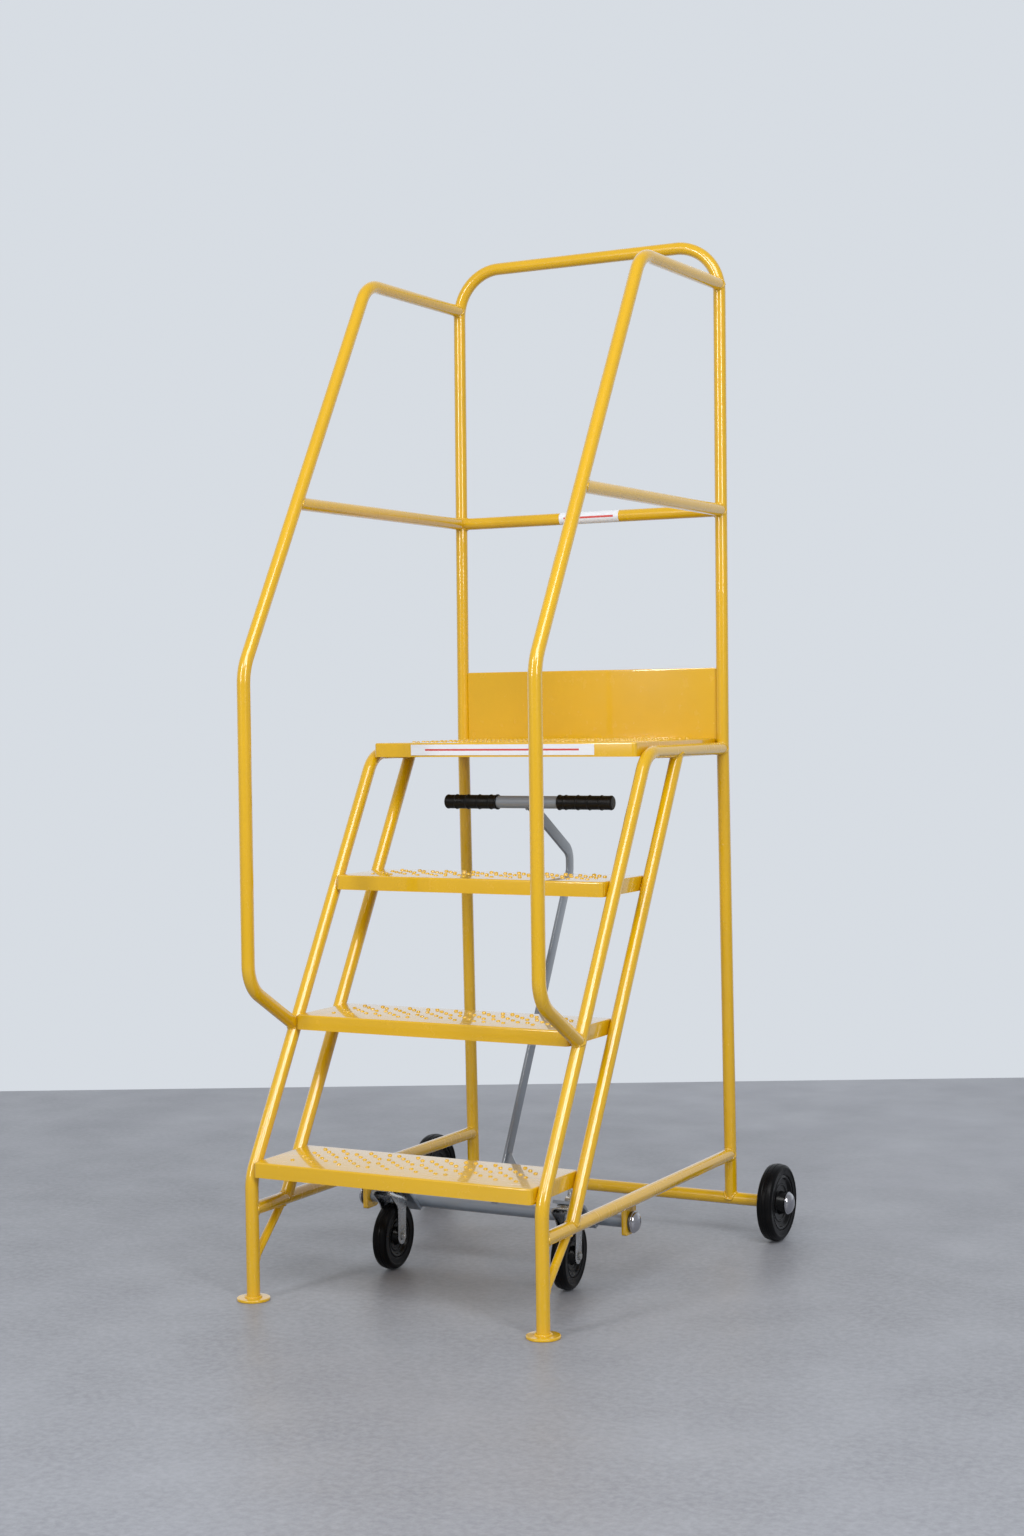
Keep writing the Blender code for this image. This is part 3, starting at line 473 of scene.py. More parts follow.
def to_axis(point, axis):
    """Matrix that puts local Z on an axis through a point."""
    turn = Vector((0, 0, 1)).rotation_difference(Vector(axis)).to_matrix().to_4x4()
    return Matrix.Translation(point) @ turn


def circle(radius, centre=(0, 0), steps=48):
    x, y = centre
    turns = [2 * math.pi * step / steps for step in range(steps)]
    return [(x + radius * math.cos(a), y + radius * math.sin(a)) for a in turns]


def strip_outline(path, width):
    one_side = []
    other_side = []
    for index, point in enumerate(path):
        before = path[max(index - 1, 0)]
        after = path[min(index + 1, len(path) - 1)]
        along = (after - before).normalized()
        across = Vector((-along.y, along.x, 0)) * (width / 2)
        one_side.append(point + across)
        other_side.append(point - across)
    return one_side + other_side[::-1]


SIDE_PLANE = Matrix(((0, 0, 1, 0), (1, 0, 0, 0), (0, 1, 0, 0), (0, 0, 0, 1)))


# ---------------------------------------------------------------- weld beads

class Welds:
    """All the weld beads of one body, as one piece of many small rippled ropes."""

    def __init__(self, name, body, material):
        self.name, self.body, self.material = name, body, material
        self.curve = bpy.data.curves.new(name, "CURVE")
        self.curve.dimensions = "3D"
        self.curve.bevel_depth = WELD
        self.curve.bevel_resolution = 2
        self.curve.use_fill_caps = True

    def bead(self, points, cyclic=False, size=1.0):
        """A rope along the points, rippled as a hand weld is."""
        length = 0.0
        radii = []
        for index, point in enumerate(points):
            if index:
                length += (Vector(point) - Vector(points[index - 1])).length
            ripple = 0.16 * math.sin(2 * math.pi * length / WELD_RIPPLE)
            drift = 0.10 * math.sin(2 * math.pi * length / WELD_DRIFT + 1.3)
            radii.append(size * (1.0 + ripple + drift))
        add_spline(self.curve, points, cyclic, radii)

    def line(self, start, end, size=1.0):
        start, end = Vector(start), Vector(end)
        count = max(4, int((end - start).length / WELD_STEP))
        self.bead([start.lerp(end, index / count) for index in range(count + 1)], size=size)

    def ring(self, centre, axis, radius, size=1.0):
        place = to_axis(centre, axis)
        count = max(24, int(2 * math.pi * radius / WELD_STEP))
        points = [place @ Vector((x, y, 0)) for x, y in circle(radius, steps=count)]
        self.bead(points, cyclic=True, size=size)

    def joint(self, start, direction, radius, main_point, main_direction, main_radius=TUBE, size=1.0):
        """The seam where a branch tube running along a direction meets a main tube."""
        direction = Vector(direction).normalized()
        main_direction = Vector(main_direction).normalized()
        place = to_axis(start, direction)
        reach = min(radius, main_radius - 0.0004)
        count = int(2 * math.pi * reach / WELD_STEP)
        points = []
        for x, y in circle(reach, steps=count):
            origin = place @ Vector((x, y, 0))
            offset = origin - Vector(main_point)
            offset -= main_direction * offset.dot(main_direction)
            heading = direction - main_direction * direction.dot(main_direction)
            square = heading.dot(heading)
            half = offset.dot(heading)
            inside = max(half * half - square * (offset.dot(offset) - main_radius ** 2), 0.0)
            points.append(origin + direction * ((-half - math.sqrt(inside)) / square))
        self.bead(points, cyclic=True, size=size)

    def finish(self):
        mesh = welded(evaluated_mesh(scratch_object(self.name, self.curve), self.name))
        return piece(self.name, finish_mesh(mesh, self.material, 70), self.body)


# ---------------------------------------------------------------- tube frame

def leg_stringer_points(x):
    return rounded_path([
        (at(0, FOOT_TOP, x), 0),
        (at(0, STRINGER_KNEE, x), STRINGER_KNEE_RADIUS),
        (at(stringer_depth(DECK_TUBE_HEIGHT), DECK_TUBE_HEIGHT, x), DECK_BEND_RADIUS),
        (at(POST_DEPTH, DECK_TUBE_HEIGHT, x), 0),
    ])


def handrail_points(x):
    start = stringer_depth(HANDRAIL_START_HEIGHT)
    return rounded_path([
        (at(start, HANDRAIL_START_HEIGHT, x), 0),
        (at(0, HANDRAIL_START_HEIGHT + start * SLOPE, x), HANDRAIL_FOOT_RADIUS),
        (at(0, HANDRAIL_KNEE, x), HANDRAIL_KNEE_RADIUS),
        (at(handrail_depth(HAND_TOP), HAND_TOP, x), HANDRAIL_TOP_RADIUS),
        (at(post_depth(HAND_TOP), HAND_TOP, x), 0),
    ])


def hoop_points():
    def post(x, height):
        return at(post_depth(height), height, x)
    return rounded_path([
        (post(-SIDE_X, AXLE.z), 0),
        (post(-SIDE_X, DECK_TUBE_HEIGHT), HOOP_KINK_RADIUS),
        (post(-SIDE_X, HOOP_TOP), HOOP_BEND_RADIUS),
        (post(SIDE_X, HOOP_TOP), HOOP_BEND_RADIUS),
        (post(SIDE_X, DECK_TUBE_HEIGHT), HOOP_KINK_RADIUS),
        (post(SIDE_X, AXLE.z), 0),
    ])


def make_side(side, x, welds):
    rail_post = post_depth(RAIL_HEIGHT)
    low = stringer_depth(RAIL_HEIGHT) + REAR_STRINGER_OFFSET
    high = stringer_depth(DECK_TUBE_HEIGHT) + REAR_STRINGER_OFFSET
    hand_start = stringer_depth(HANDRAIL_START_HEIGHT)
    mid_start = handrail_depth(MID_HEIGHT)
    rail = [at(0, RAIL_HEIGHT, x), at(rail_post, RAIL_HEIGHT, x)]
    stringer = [at(low, RAIL_HEIGHT, x), at(high, DECK_TUBE_HEIGHT, x)]
    mid = [at(mid_start, MID_HEIGHT, x), at(post_depth(MID_HEIGHT), MID_HEIGHT, x)]
    brace = [at(0, BRACE_LEG_HEIGHT, x), at(BRACE_RAIL_DEPTH, RAIL_HEIGHT, x)]
    for name, node, points in (
        ("leg_tube_", "leg_stringer_", leg_stringer_points(x)),
        ("handrail_tube_", "handrail_", handrail_points(x)),
        ("bottom_rail_", "side_rail_", rail),
        ("rear_stringer_tube_", "rear_stringer_", stringer),
        ("mid_rail_tube_", "mid_rail_", mid),
    ):
        tube(name + side, points, "frame", [node + side])
    tube("leg_brace_tube_" + side, brace, "frame", ["leg_brace_" + side], radius=BRACE)

    # Each seam: a point on the branch tube, the way from there to the main tube, and where they meet
    up, back = Vector((0, 0, 1)), Vector((0, 1, 0))
    brace_way = (brace[1] - brace[0]).normalized()
    across = Vector((0, UP_SLOPE.z, -UP_SLOPE.y))
    foot_start = at(hand_start, HANDRAIL_START_HEIGHT, x)
    for start, way, radius, target, main in (
        (foot_start - across * 0.05, across, TUBE, foot_start, UP_SLOPE),
        (at(0.7, HAND_TOP, x), back, TUBE, at(post_depth(HAND_TOP), HAND_TOP, x), up),
        (at(0.4, MID_HEIGHT, x), -back, TUBE, mid[0], UP_SLOPE),
        (at(0.7, MID_HEIGHT, x), back, TUBE, mid[1], up),
        (at(0.7, DECK_TUBE_HEIGHT, x), back, TUBE, at(POST_DEPTH, DECK_TUBE_HEIGHT, x), up),
        (at(0.1, RAIL_HEIGHT, x), -back, TUBE, rail[0], up),
        (at(0.7, RAIL_HEIGHT, x), back, TUBE, rail[1], up),
        (stringer[0] + UP_SLOPE * 0.1, -UP_SLOPE, TUBE, stringer[0], back),
        (stringer[1] - UP_SLOPE * 0.1, UP_SLOPE, TUBE, stringer[1], back),
        (brace[0] + brace_way * 0.06, -brace_way, BRACE, brace[0], up),
        (brace[1] - brace_way * 0.06, brace_way, BRACE, brace[1], back),
    ):
        welds.joint(start, way, radius, target, main)
    welds.joint(at(post_depth(0.2), 0.2, x), -up, TUBE, at(AXLE.y - FRONT_Y, AXLE.z, x), (1, 0, 0))
    welds.ring(at(0, FOOT_TOP + 0.0008, x), up, TUBE + 0.0012)

    foot = soft_profile([
        (0, FOOT_TOP, 0),
        (extent("foot_" + side).x / 2, FOOT_TOP, 0.0016),
        (extent("foot_" + side).x / 2, 0, 0.0008),
        (0, 0, 0),
    ])
    turned("foot_disc_" + side, foot, YELLOW, "frame", ["foot_" + side], Matrix.Translation(at(0, 0, x)))


def make_frame(welds):
    tube("guardrail_hoop_tube", hoop_points(), "frame", ["guardrail_hoop"])
    mid_depth = post_depth(MID_HEIGHT)
    mid = [at(mid_depth, MID_HEIGHT, -SIDE_X), at(mid_depth, MID_HEIGHT, SIDE_X)]
    tube("rear_mid_tube", mid, "frame", ["rear_mid_rail"])
    shaft("rear_axle_sleeve", "rear_axle_tube", AXLE, "frame")
    for sign, end in zip((-1, 1), mid):
        welds.joint(end - Vector((sign * 0.1, 0, 0)), (sign, 0, 0), TUBE, end, (0, 0, 1))
    for side, sign in SIDES.items():
        make_side(side, sign * SIDE_X, welds)


# ---------------------------------------------------------------- treads, platform, kick plate

BUTTON_RADIUS = 0.0043
BUTTON_HEIGHT = 0.0026
BUTTON_SIDES = 14
BUTTON_COLUMN = 0.0203
BUTTON_ROW = 0.0188
BUTTON_COLUMNS = 24
BUTTON_MARGIN_REAR = 0.0245
BUTTON_MARGIN_FRONT = 0.036
TRAY_CORNER = 0.008
TRAY_FOLD = 0.0032
TRAY_SHEET = 0.002


def add_button(shape, x, y, z):
    """One pressed button: a low dome that rises from the sheet."""
    levels = ((1.0, 0.0), (0.95, 0.38), (0.80, 0.70), (0.55, 0.91), (0.25, 0.99))
    rings = []
    for radius, height in levels:
        ring = circle(BUTTON_RADIUS * radius, (x, y), BUTTON_SIDES)
        rings.append([shape.verts.new((*point, z + BUTTON_HEIGHT * height)) for point in ring])
    for lower, upper in zip(rings, rings[1:]):
        join_rings(shape, lower, upper)
    shape.faces.new(rings[-1])
    shape.faces.new(rings[0][::-1])


def make_tray(name, node, welds):
    """A folded tray with rounded corners and staggered rows of pressed buttons."""
    low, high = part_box(node)
    size = high - low
    shape = bmesh.new()
    bmesh.ops.create_cube(shape, size=1)
    bmesh.ops.transform(shape, matrix=Matrix.Diagonal((*size, 1)), verts=shape.verts)
    bmesh.ops.translate(shape, vec=(low + high) / 2, verts=shape.verts)
    bottom = [face for face in shape.faces if face.normal.z < -0.5]
    bmesh.ops.delete(shape, geom=bottom, context="FACES_ONLY")
    upright = [e for e in shape.edges if abs(e.verts[0].co.z - e.verts[1].co.z) > size.z / 2]
    bmesh.ops.bevel(shape, geom=upright, offset=TRAY_CORNER, segments=7, profile=0.5, affect="EDGES")
    top = high.z - 0.0001
    rim = [e for e in shape.edges if all(v.co.z > top for v in e.verts) and len(e.link_faces) == 2]
    bmesh.ops.bevel(shape, geom=rim, offset=TRAY_FOLD, segments=5, profile=0.5, affect="EDGES")
    mesh = add_sheet(shape, name, TRAY_SHEET, Vector((0, 0, 1)))
    shape = bmesh.new()
    shape.from_mesh(mesh)
    first_x = -BUTTON_COLUMN * (BUTTON_COLUMNS - 1) / 2
    rows = int((size.y - BUTTON_MARGIN_REAR - BUTTON_MARGIN_FRONT) / BUTTON_ROW) + 1
    for column in range(BUTTON_COLUMNS):
        phase = (column + column // 4) % 2
        for row in range(phase, rows, 2):
            y = high.y - BUTTON_MARGIN_REAR - BUTTON_ROW * row
            add_button(shape, first_x + BUTTON_COLUMN * column, y, high.z - 0.0002)
    shape.to_mesh(mesh)
    shape.free()
    piece(name, finish_mesh(mesh, YELLOW, 32), "frame", [node])
    if node != "platform":
        for sign in (-1, 1):
            x = sign * (high.x + 0.0006)
            for offset in (0.0, REAR_STRINGER_OFFSET):
                start = at(stringer_depth(low.z) + offset, low.z + 0.002, x)
                end = at(stringer_depth(high.z) + offset, high.z - 0.001, x)
                welds.line(start, end, size=0.9)
            corner_y = low.y + 0.005
            corner = Vector((x, corner_y, low.z + 0.003))
            welds.line(corner, corner + Vector((0, 0, size.z - 0.006)), size=0.35)


def make_kick_plate(welds):
    low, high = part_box("kick_plate")
    centre = (low + high) / 2
    half = (high - low) / 2
    outline = rounded_loop([
        (-half.x, -half.z, 0.001), (half.x, -half.z, 0.001), (half.x, half.z, 0.004), (-half.x, half.z, 0.004)
    ])
    mesh = plate_mesh("kick_board", [outline], high.y - low.y, YELLOW, edge=0.0007)
    place = Matrix.Translation(centre) @ Matrix.Rotation(math.pi / 2, 4, "X")
    piece("kick_board", mesh, "frame", ["kick_plate"], place)
    for sign in (-1, 1):
        x = sign * (half.x + 0.0002)
        for start, end in ((0.06, 0.28), (0.62, 0.86)):
            bottom = Vector((x, high.y, low.z + (high.z - low.z) * start))
            welds.line(bottom, bottom + Vector((0, 0, (high.z - low.z) * (end - start))), size=0.8)


STICKER_FILM = 0.0003
STICKER_COLUMNS = 24


def make_stickers():
    """Plain stickers: a flat one on the deck's front, one wrapped around the front of the mid rail."""
    for name, node in (("deck_sticker", "platform_sticker"), ("rail_sticker", "guardrail_sticker")):
        low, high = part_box(node)
        shape = bmesh.new()
        rows = []
        if node == "platform_sticker":
            spots = [(low.y, low.z + (high.z - low.z) * step / 6) for step in range(7)]
        else:
            centre = at(post_depth(MID_HEIGHT), MID_HEIGHT)
            reach = TUBE + 0.0005
            turns = [math.radians(angle) for angle in range(250, 109, -10)]
            spots = [(centre.y + reach * math.cos(a), centre.z + reach * math.sin(a)) for a in turns]
        for y, z in spots:
            xs = [low.x + (high.x - low.x) * step / STICKER_COLUMNS for step in range(STICKER_COLUMNS + 1)]
            rows.append([shape.verts.new((x, y, z)) for x in xs])
        for lower, upper in zip(rows, rows[1:]):
            for step in range(STICKER_COLUMNS):
                shape.faces.new((lower[step], lower[step + 1], upper[step + 1], upper[step]))
        mesh = add_sheet(shape, name, STICKER_FILM, Vector((0, -1, 0)))
        piece(name, finish_mesh(mesh, VINYL, 50), "frame", [node])


# ---------------------------------------------------------------- wheels, caps, axles

def ribbed_tyre(radius, inner, width):
    """Tyre section: crowned tread with two seam ridges, rounded shoulders, stepped side walls."""
    half = width / 2
    right = [
        (radius, 0.0, 0),
        (radius - 0.0002, half * 0.20, 0.0002),
        (radius - 0.0014, half * 0.26, 0.0004),
        (radius - 0.0006, half * 0.34, 0.0005),
        (radius - 0.0022, half * 0.80, 0.004),
        (radius - 0.0075, half, 0.0022),
        (radius - 0.0105, half * 0.99, 0.0004),
        (radius - 0.0112, half * 0.93, 0.0004),
        (inner + 0.0012, half * 0.90, 0.0006),
        (inner, half * 0.82, 0),
    ]
    return mirrored(right, skip=1)


def ribbed_centre(outer, flange, hub_radius, hub_width, bore):
    """Moulded wheel centre: rim flange, concentric steps, dished web and hub."""
    half = flange / 2
    hub = hub_width / 2
    right = [
        (outer, half * 0.86, 0.0003),
        (outer - 0.003, half, 0.0008),
        (outer - 0.006, half * 0.94, 0.0008),
        (outer - 0.0085, half * 0.62, 0.001),
        (outer * 0.70, half * 0.56, 0.0012),
        (outer * 0.68, half * 0.66, 0.0006),
        (outer * 0.63, half * 0.66, 0.0006),
        (outer * 0.61, half * 0.52, 0.0012),
        (hub_radius + 0.004, half * 0.50, 0.002),
        (hub_radius, hub, 0.0012),
        (bore, hub, 0),
    ]
    return mirrored(right)


def dome_profile(radius, height):
    """Pressed dome cap with a rolled brim."""
    shoulder = radius - 0.0018
    brim = 0.0032
    points = [(0, height)]
    for step in range(1, 13):
        turn = math.pi / 2 * step / 13
        points.append((shoulder * math.sin(turn), brim + (height - brim) * math.cos(turn)))
    points += soft_profile([
        (shoulder, brim + 0.0002, 0),
        (radius, brim - 0.0002, 0.0009),
        (radius, 0.0004, 0.0009),
        (radius * 0.55, 0.0, 0),
    ])
    return points


def facing(node, material, profile, name, sign, closed=False):
    """A turned piece on the X axis whose base is the inner face of a CAD node."""
    low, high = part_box(node)
    place = middle(node)
    place.x = low.x if sign > 0 else high.x
    turned(name, profile, material, "frame", [node], to_axis(place, (sign, 0, 0)), closed=closed)


REAR_HUB_RADIUS = 0.020
REAR_HUB_BORE = 0.0107
RIM_INSET = 0.004
ROD_END_HIDDEN = 0.006


def make_rear_wheels():
    radius = extent("rear_tyre_right").z / 2
    width = extent("rear_tyre_right").x
    inner = extent("rear_rim_right").z / 2
    rod = extent("rear_axle_rod").z / 2
    for side, sign in SIDES.items():
        body = "rear_wheel_" + side
        place = to_axis(middle("rear_tyre_" + side), (sign, 0, 0))
        profile = ribbed_tyre(radius, inner + 0.0002, width)
        turned(
            "rear_wheel_tyre_" + side, profile, TYRE, body, ["rear_tyre_" + side], place,
            closed=True, steps=TYRE_STEPS,
        )
        hub = extent("rear_rim_right").x
        centre = ribbed_centre(inner, width - RIM_INSET, REAR_HUB_RADIUS, hub, REAR_HUB_BORE)
        turned(
            "rear_wheel_centre_" + side, centre, MOULDED, body, ["rear_rim_" + side], place,
            closed=True,
        )
        height = extent("rear_cap_" + side).x
        dome = dome_profile(extent("rear_cap_" + side).z / 2, height)
        facing("rear_cap_" + side, CHROME, dome, "rear_dome_cap_" + side, sign)
    shaft("rear_axle_shaft", "rear_axle_rod", AXLE, "frame", STEEL, rod, ROD_END_HIDDEN)


BRACKET_CORNER = 0.004
BRACKET_ROUNDED_CORNER = 0.012
BRACKET_TOP_CORNER = 0.0015


def make_pivot(welds):
    """Brackets below the side rails, with the washers and dome caps on the rod's ends."""
    rod = extent("lever_pivot_rod").z / 2
    for side, sign in SIDES.items():
        low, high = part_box("lever_bracket_" + side)
        front, rear = low.y - PIVOT.y, high.y - PIVOT.y
        bottom, top = low.z - PIVOT.z, high.z - PIVOT.z
        outline = rounded_loop([
            (front, bottom, BRACKET_CORNER),
            (rear, bottom, BRACKET_ROUNDED_CORNER),
            (rear, top, BRACKET_TOP_CORNER),
            (front, top, BRACKET_TOP_CORNER),
        ])
        outlines = [outline, circle(rod + 0.0003)]
        mesh = plate_mesh("pivot_bracket_" + side, outlines, high.x - low.x, YELLOW)
        place = Matrix.Translation((middle("lever_bracket_" + side).x, PIVOT.y, PIVOT.z)) @ SIDE_PLANE
        piece(mesh.name, mesh, "frame", ["lever_bracket_" + side], place)
        edge_x = high.x if sign > 0 else low.x
        inner_x = low.x if sign > 0 else high.x
        seam_z = RAIL_HEIGHT - TUBE * 0.55
        for x in (edge_x, inner_x):
            welds.line((x, low.y + 0.003, seam_z), (x, high.y - 0.003, seam_z), size=0.9)
        outer, bore = extent("lever_washer_" + side).z / 2, rod + 0.0006
        washer = [(outer, 0.0002), (outer, 0.0038), (bore, 0.0038), (bore, 0.0002)]
        facing("lever_washer_" + side, STEEL, washer, "pivot_washer_" + side, sign, closed=True)
        dome = dome_profile(extent("lever_cap_" + side).z / 2, extent("lever_cap_" + side).x)
        facing("lever_cap_" + side, CHROME, dome, "pivot_dome_cap_" + side, sign)
    shaft("pivot_shaft", "lever_pivot_rod", PIVOT, "frame", STEEL, rod, ROD_END_HIDDEN)


# ---------------------------------------------------------------- hand lever

LEVER_SLOPE = 0.535
LEVER_ELBOW_DEPTH = 0.7275
LEVER_ELBOW_TOP = 0.790
LEVER_BEND_RADIUS = 0.030
LEVER_WIDTH = 0.025
GRIP_FIRST_RING = 0.016
GRIP_RING_PITCH = 0.026
GRIP_RING_HEIGHT = 0.0014
GRIP_RING_WIDTH = 0.0019
GRIP_GROOVE_DEPTH = 0.00016
GRIP_GROOVE_PITCH = 0.0021
GRIP_END_ROUNDING = 0.0045


def lever_bar_points():
    """The flat bar's centreline in the side plane, measured from the pivot."""
    elbow = LEVER_ELBOW_DEPTH + FRONT_Y - PIVOT.y
    low = elbow / LEVER_SLOPE
    way = Vector((elbow, low, 0)).normalized()
    top = Vector((elbow, LEVER_ELBOW_TOP - PIVOT.z, 0))
    handle = Vector((HANDLE.y - PIVOT.y, HANDLE.z - PIVOT.z, 0))
    back = (top - handle).normalized()
    return rounded_path([
        (way * (TUBE - 0.003), 0),
        ((elbow, low, 0), LEVER_BEND_RADIUS),
        (top, LEVER_BEND_RADIUS),
        (handle + back * (TUBE - 0.003), 0),
    ])


def tube_arc(centre, towards, x, half_angle, radius):
    """Points on a cross tube's surface, spread about the side that a bar comes from."""
    middle_turn = math.atan2(towards.z, towards.y)
    steps = 28
    turns = [middle_turn + math.radians(half_angle) * (2 * step / steps - 1) for step in range(steps + 1)]
    return [centre + Vector((x, radius * math.cos(a), radius * math.sin(a))) for a in turns]


def grip_profile(radius, length, bore):
    """Ribbed grip: inner flange, fine grooves, raised finger rings and a rounded end."""
    profile = [(bore, 0.0), (radius + 0.0004, 0.0), (radius + 0.0008, 0.0006), (radius + 0.0008, 0.0030)]
    profile.append((radius - 0.0004, 0.0040))
    rings = [GRIP_FIRST_RING + GRIP_RING_PITCH * index for index in range(4)]
    place = 0.0045
    while place < length - 0.008:
        groove = GRIP_GROOVE_DEPTH * math.sin(2 * math.pi * place / GRIP_GROOVE_PITCH)
        swell = sum(GRIP_RING_HEIGHT * math.exp(-((place - ring) / GRIP_RING_WIDTH) ** 2) for ring in rings)
        profile.append((radius - 0.0007 + groove + swell, place))
        place += 0.00055
    for step in range(9):
        turn = math.pi / 2 * step / 8
        reach = radius - GRIP_END_ROUNDING * (1 - math.cos(turn))
        profile.append((reach, length - GRIP_END_ROUNDING * (1 - math.sin(turn))))
    profile.append((0, length))
    return profile


def make_lever(welds):
    shaft("lever_cross_tube", "torsion_tube", PIVOT, "lever", GREY)
    shaft("lever_handle_tube", "handle_tube", HANDLE, "lever", GREY)

    thickness = extent("lever_bar").x
    points = lever_bar_points()
    mesh = plate_mesh("lever_flat_bar", [strip_outline(points, LEVER_WIDTH)], thickness, GREY, edge=0.0009)
    piece(mesh.name, mesh, "lever", ["lever_bar"], Matrix.Translation(PIVOT) @ SIDE_PLANE)

    lean = math.atan(LEVER_SLOPE)
    gusset_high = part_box("lever_gusset")[1]
    width = gusset_high.x
    rise = (gusset_high.z - PIVOT.z) / math.cos(lean)
    inner = thickness / 2 - 0.0004
    outline = rounded_loop([
        (inner, TUBE - 0.002, 0), (width, TUBE - 0.002, 0), (width, TUBE + 0.006, 0.003),
        (inner + 0.006, rise, 0.002), (inner, rise, 0),
    ])
    mesh = plate_mesh("lever_corner_plate", [outline], thickness, GREY)
    place = Matrix.Translation(PIVOT) @ Matrix.Rotation(math.pi / 2 - lean, 4, "X")
    piece(mesh.name, mesh, "lever", ["lever_gusset"], place)

    up = Vector((0, math.sin(lean), math.cos(lean)))
    face = Vector((0, -math.cos(lean), math.sin(lean))) * (thickness / 2)
    for sign in (-1, 1):
        x = Vector((inner + 0.0012, 0, 0))
        start = PIVOT + x + face * sign + up * (TUBE + 0.004)
        welds.line(start, start + up * (rise - TUBE - 0.008), size=0.85)
        base = PIVOT + face * sign * 1.1 + up * (TUBE + 0.0006)
        welds.line(base + Vector((inner + 0.006, 0, 0)), base + Vector((width - 0.004, 0, 0)), size=0.9)
    towards_bar = Vector((0, points[-2].x + PIVOT.y - HANDLE.y, points[-2].y + PIVOT.z - HANDLE.z))
    for sign in (-1, 1):
        x = sign * (thickness / 2 + 0.001)
        welds.bead(tube_arc(HANDLE, towards_bar, x, 66, TUBE + 0.0006), size=1.15)
        welds.bead(tube_arc(PIVOT, up, x, 66, TUBE + 0.0006), size=1.15)

    for side, sign in SIDES.items():
        node = "grip_" + side
        low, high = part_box(node)
        profile = grip_profile(extent(node).z / 2 - 0.0009, extent(node).x, TUBE)
        mesh = lathe_mesh("ribbed_grip_" + side, profile, GRIP, steps=72, sharp=60)
        start = Vector((low.x if sign > 0 else high.x, HANDLE.y, HANDLE.z))
        piece(mesh.name, mesh, "lever", [node], to_axis(start, (sign, 0, 0)))


# ---------------------------------------------------------------- castors

CASTOR_TRAIL = 0.036
CASTOR_DROP = 0.0935
ARM_HALF_PLATE = 0.026
ARM_THICKNESS = 0.006
HEAD_TOP = -0.0063
FORK_TOP = -0.0143
FORK_SHEET = 0.003
FORK_HALF_WIDTH = 0.020
FORK_BOSS_RADIUS = 0.015
FORK_CROWN_FRONT = -0.036
FORK_CROWN_REAR = 0.034
CASTOR_RADIUS = 0.0645
CASTOR_TYRE_WIDTH = 0.030
CASTOR_RIM_RADIUS = 0.042
CASTOR_HUB_RADIUS = 0.014
CASTOR_HUB_WIDTH = 0.0334
KING_RADIUS = 0.005
AXLE_RADIUS = 0.004
STUD_TOP = 0.0235
STUD_BOTTOM = -0.005
STUD_NUT = {"across_flats": 0.0165, "height": 0.0088, "bore": 0.0052}
STUD_NUT_MIDDLE = 0.0059
AXLE_NUT = {"across_flats": 0.0125, "height": 0.0042, "bore": 0.0040}
RIVET_RADIUS = 0.0100
RIVET_HEIGHT = 0.0038
HEAD_RADIUS = 0.0220
HEAD_BOTTOM = -0.0139
HEAD_BORE = 0.0056
FORK_LEG_CORNER = 0.058
FORK_LEG_BEND = 0.026
FORK_REAR_RISE = 0.050


def arm_points(king, lean, thickness):
    """Side view of a castor arm from the pivot: plate over the castor, then down past the tube."""
    back = Vector((math.cos(lean), -math.sin(lean), 0))
    down = Vector((-math.sin(lean), -math.cos(lean), 0))
    middle_point = Vector((king.y - PIVOT.y, king.z - PIVOT.z, 0)) + down * (thickness / 2)
    bend = middle_point + back * ARM_HALF_PLATE
    clear = TUBE + thickness / 2
    heading = math.atan2(-bend.y, -bend.x) - math.asin(clear / bend.length)
    length = math.sqrt(bend.length ** 2 - clear ** 2) + 0.006
    end = bend + Vector((math.cos(heading), math.sin(heading), 0)) * length
    return rounded_path([(middle_point - back * ARM_HALF_PLATE, 0), (bend, 0.010), (end, 0)])


def cut(thing, cutter_mesh, matrix, operation="DIFFERENCE"):
    cutter = scratch_object("cutter", cutter_mesh)
    cutter.matrix_world = matrix
    made = thing.modifiers.new("cut", "BOOLEAN")
    made.operation = operation
    made.solver = "EXACT"
    made.object = cutter
    return cutter


def cylinder_profile(radius, reach):
    return [(0, -reach), (radius, -reach), (radius, reach), (0, reach)]


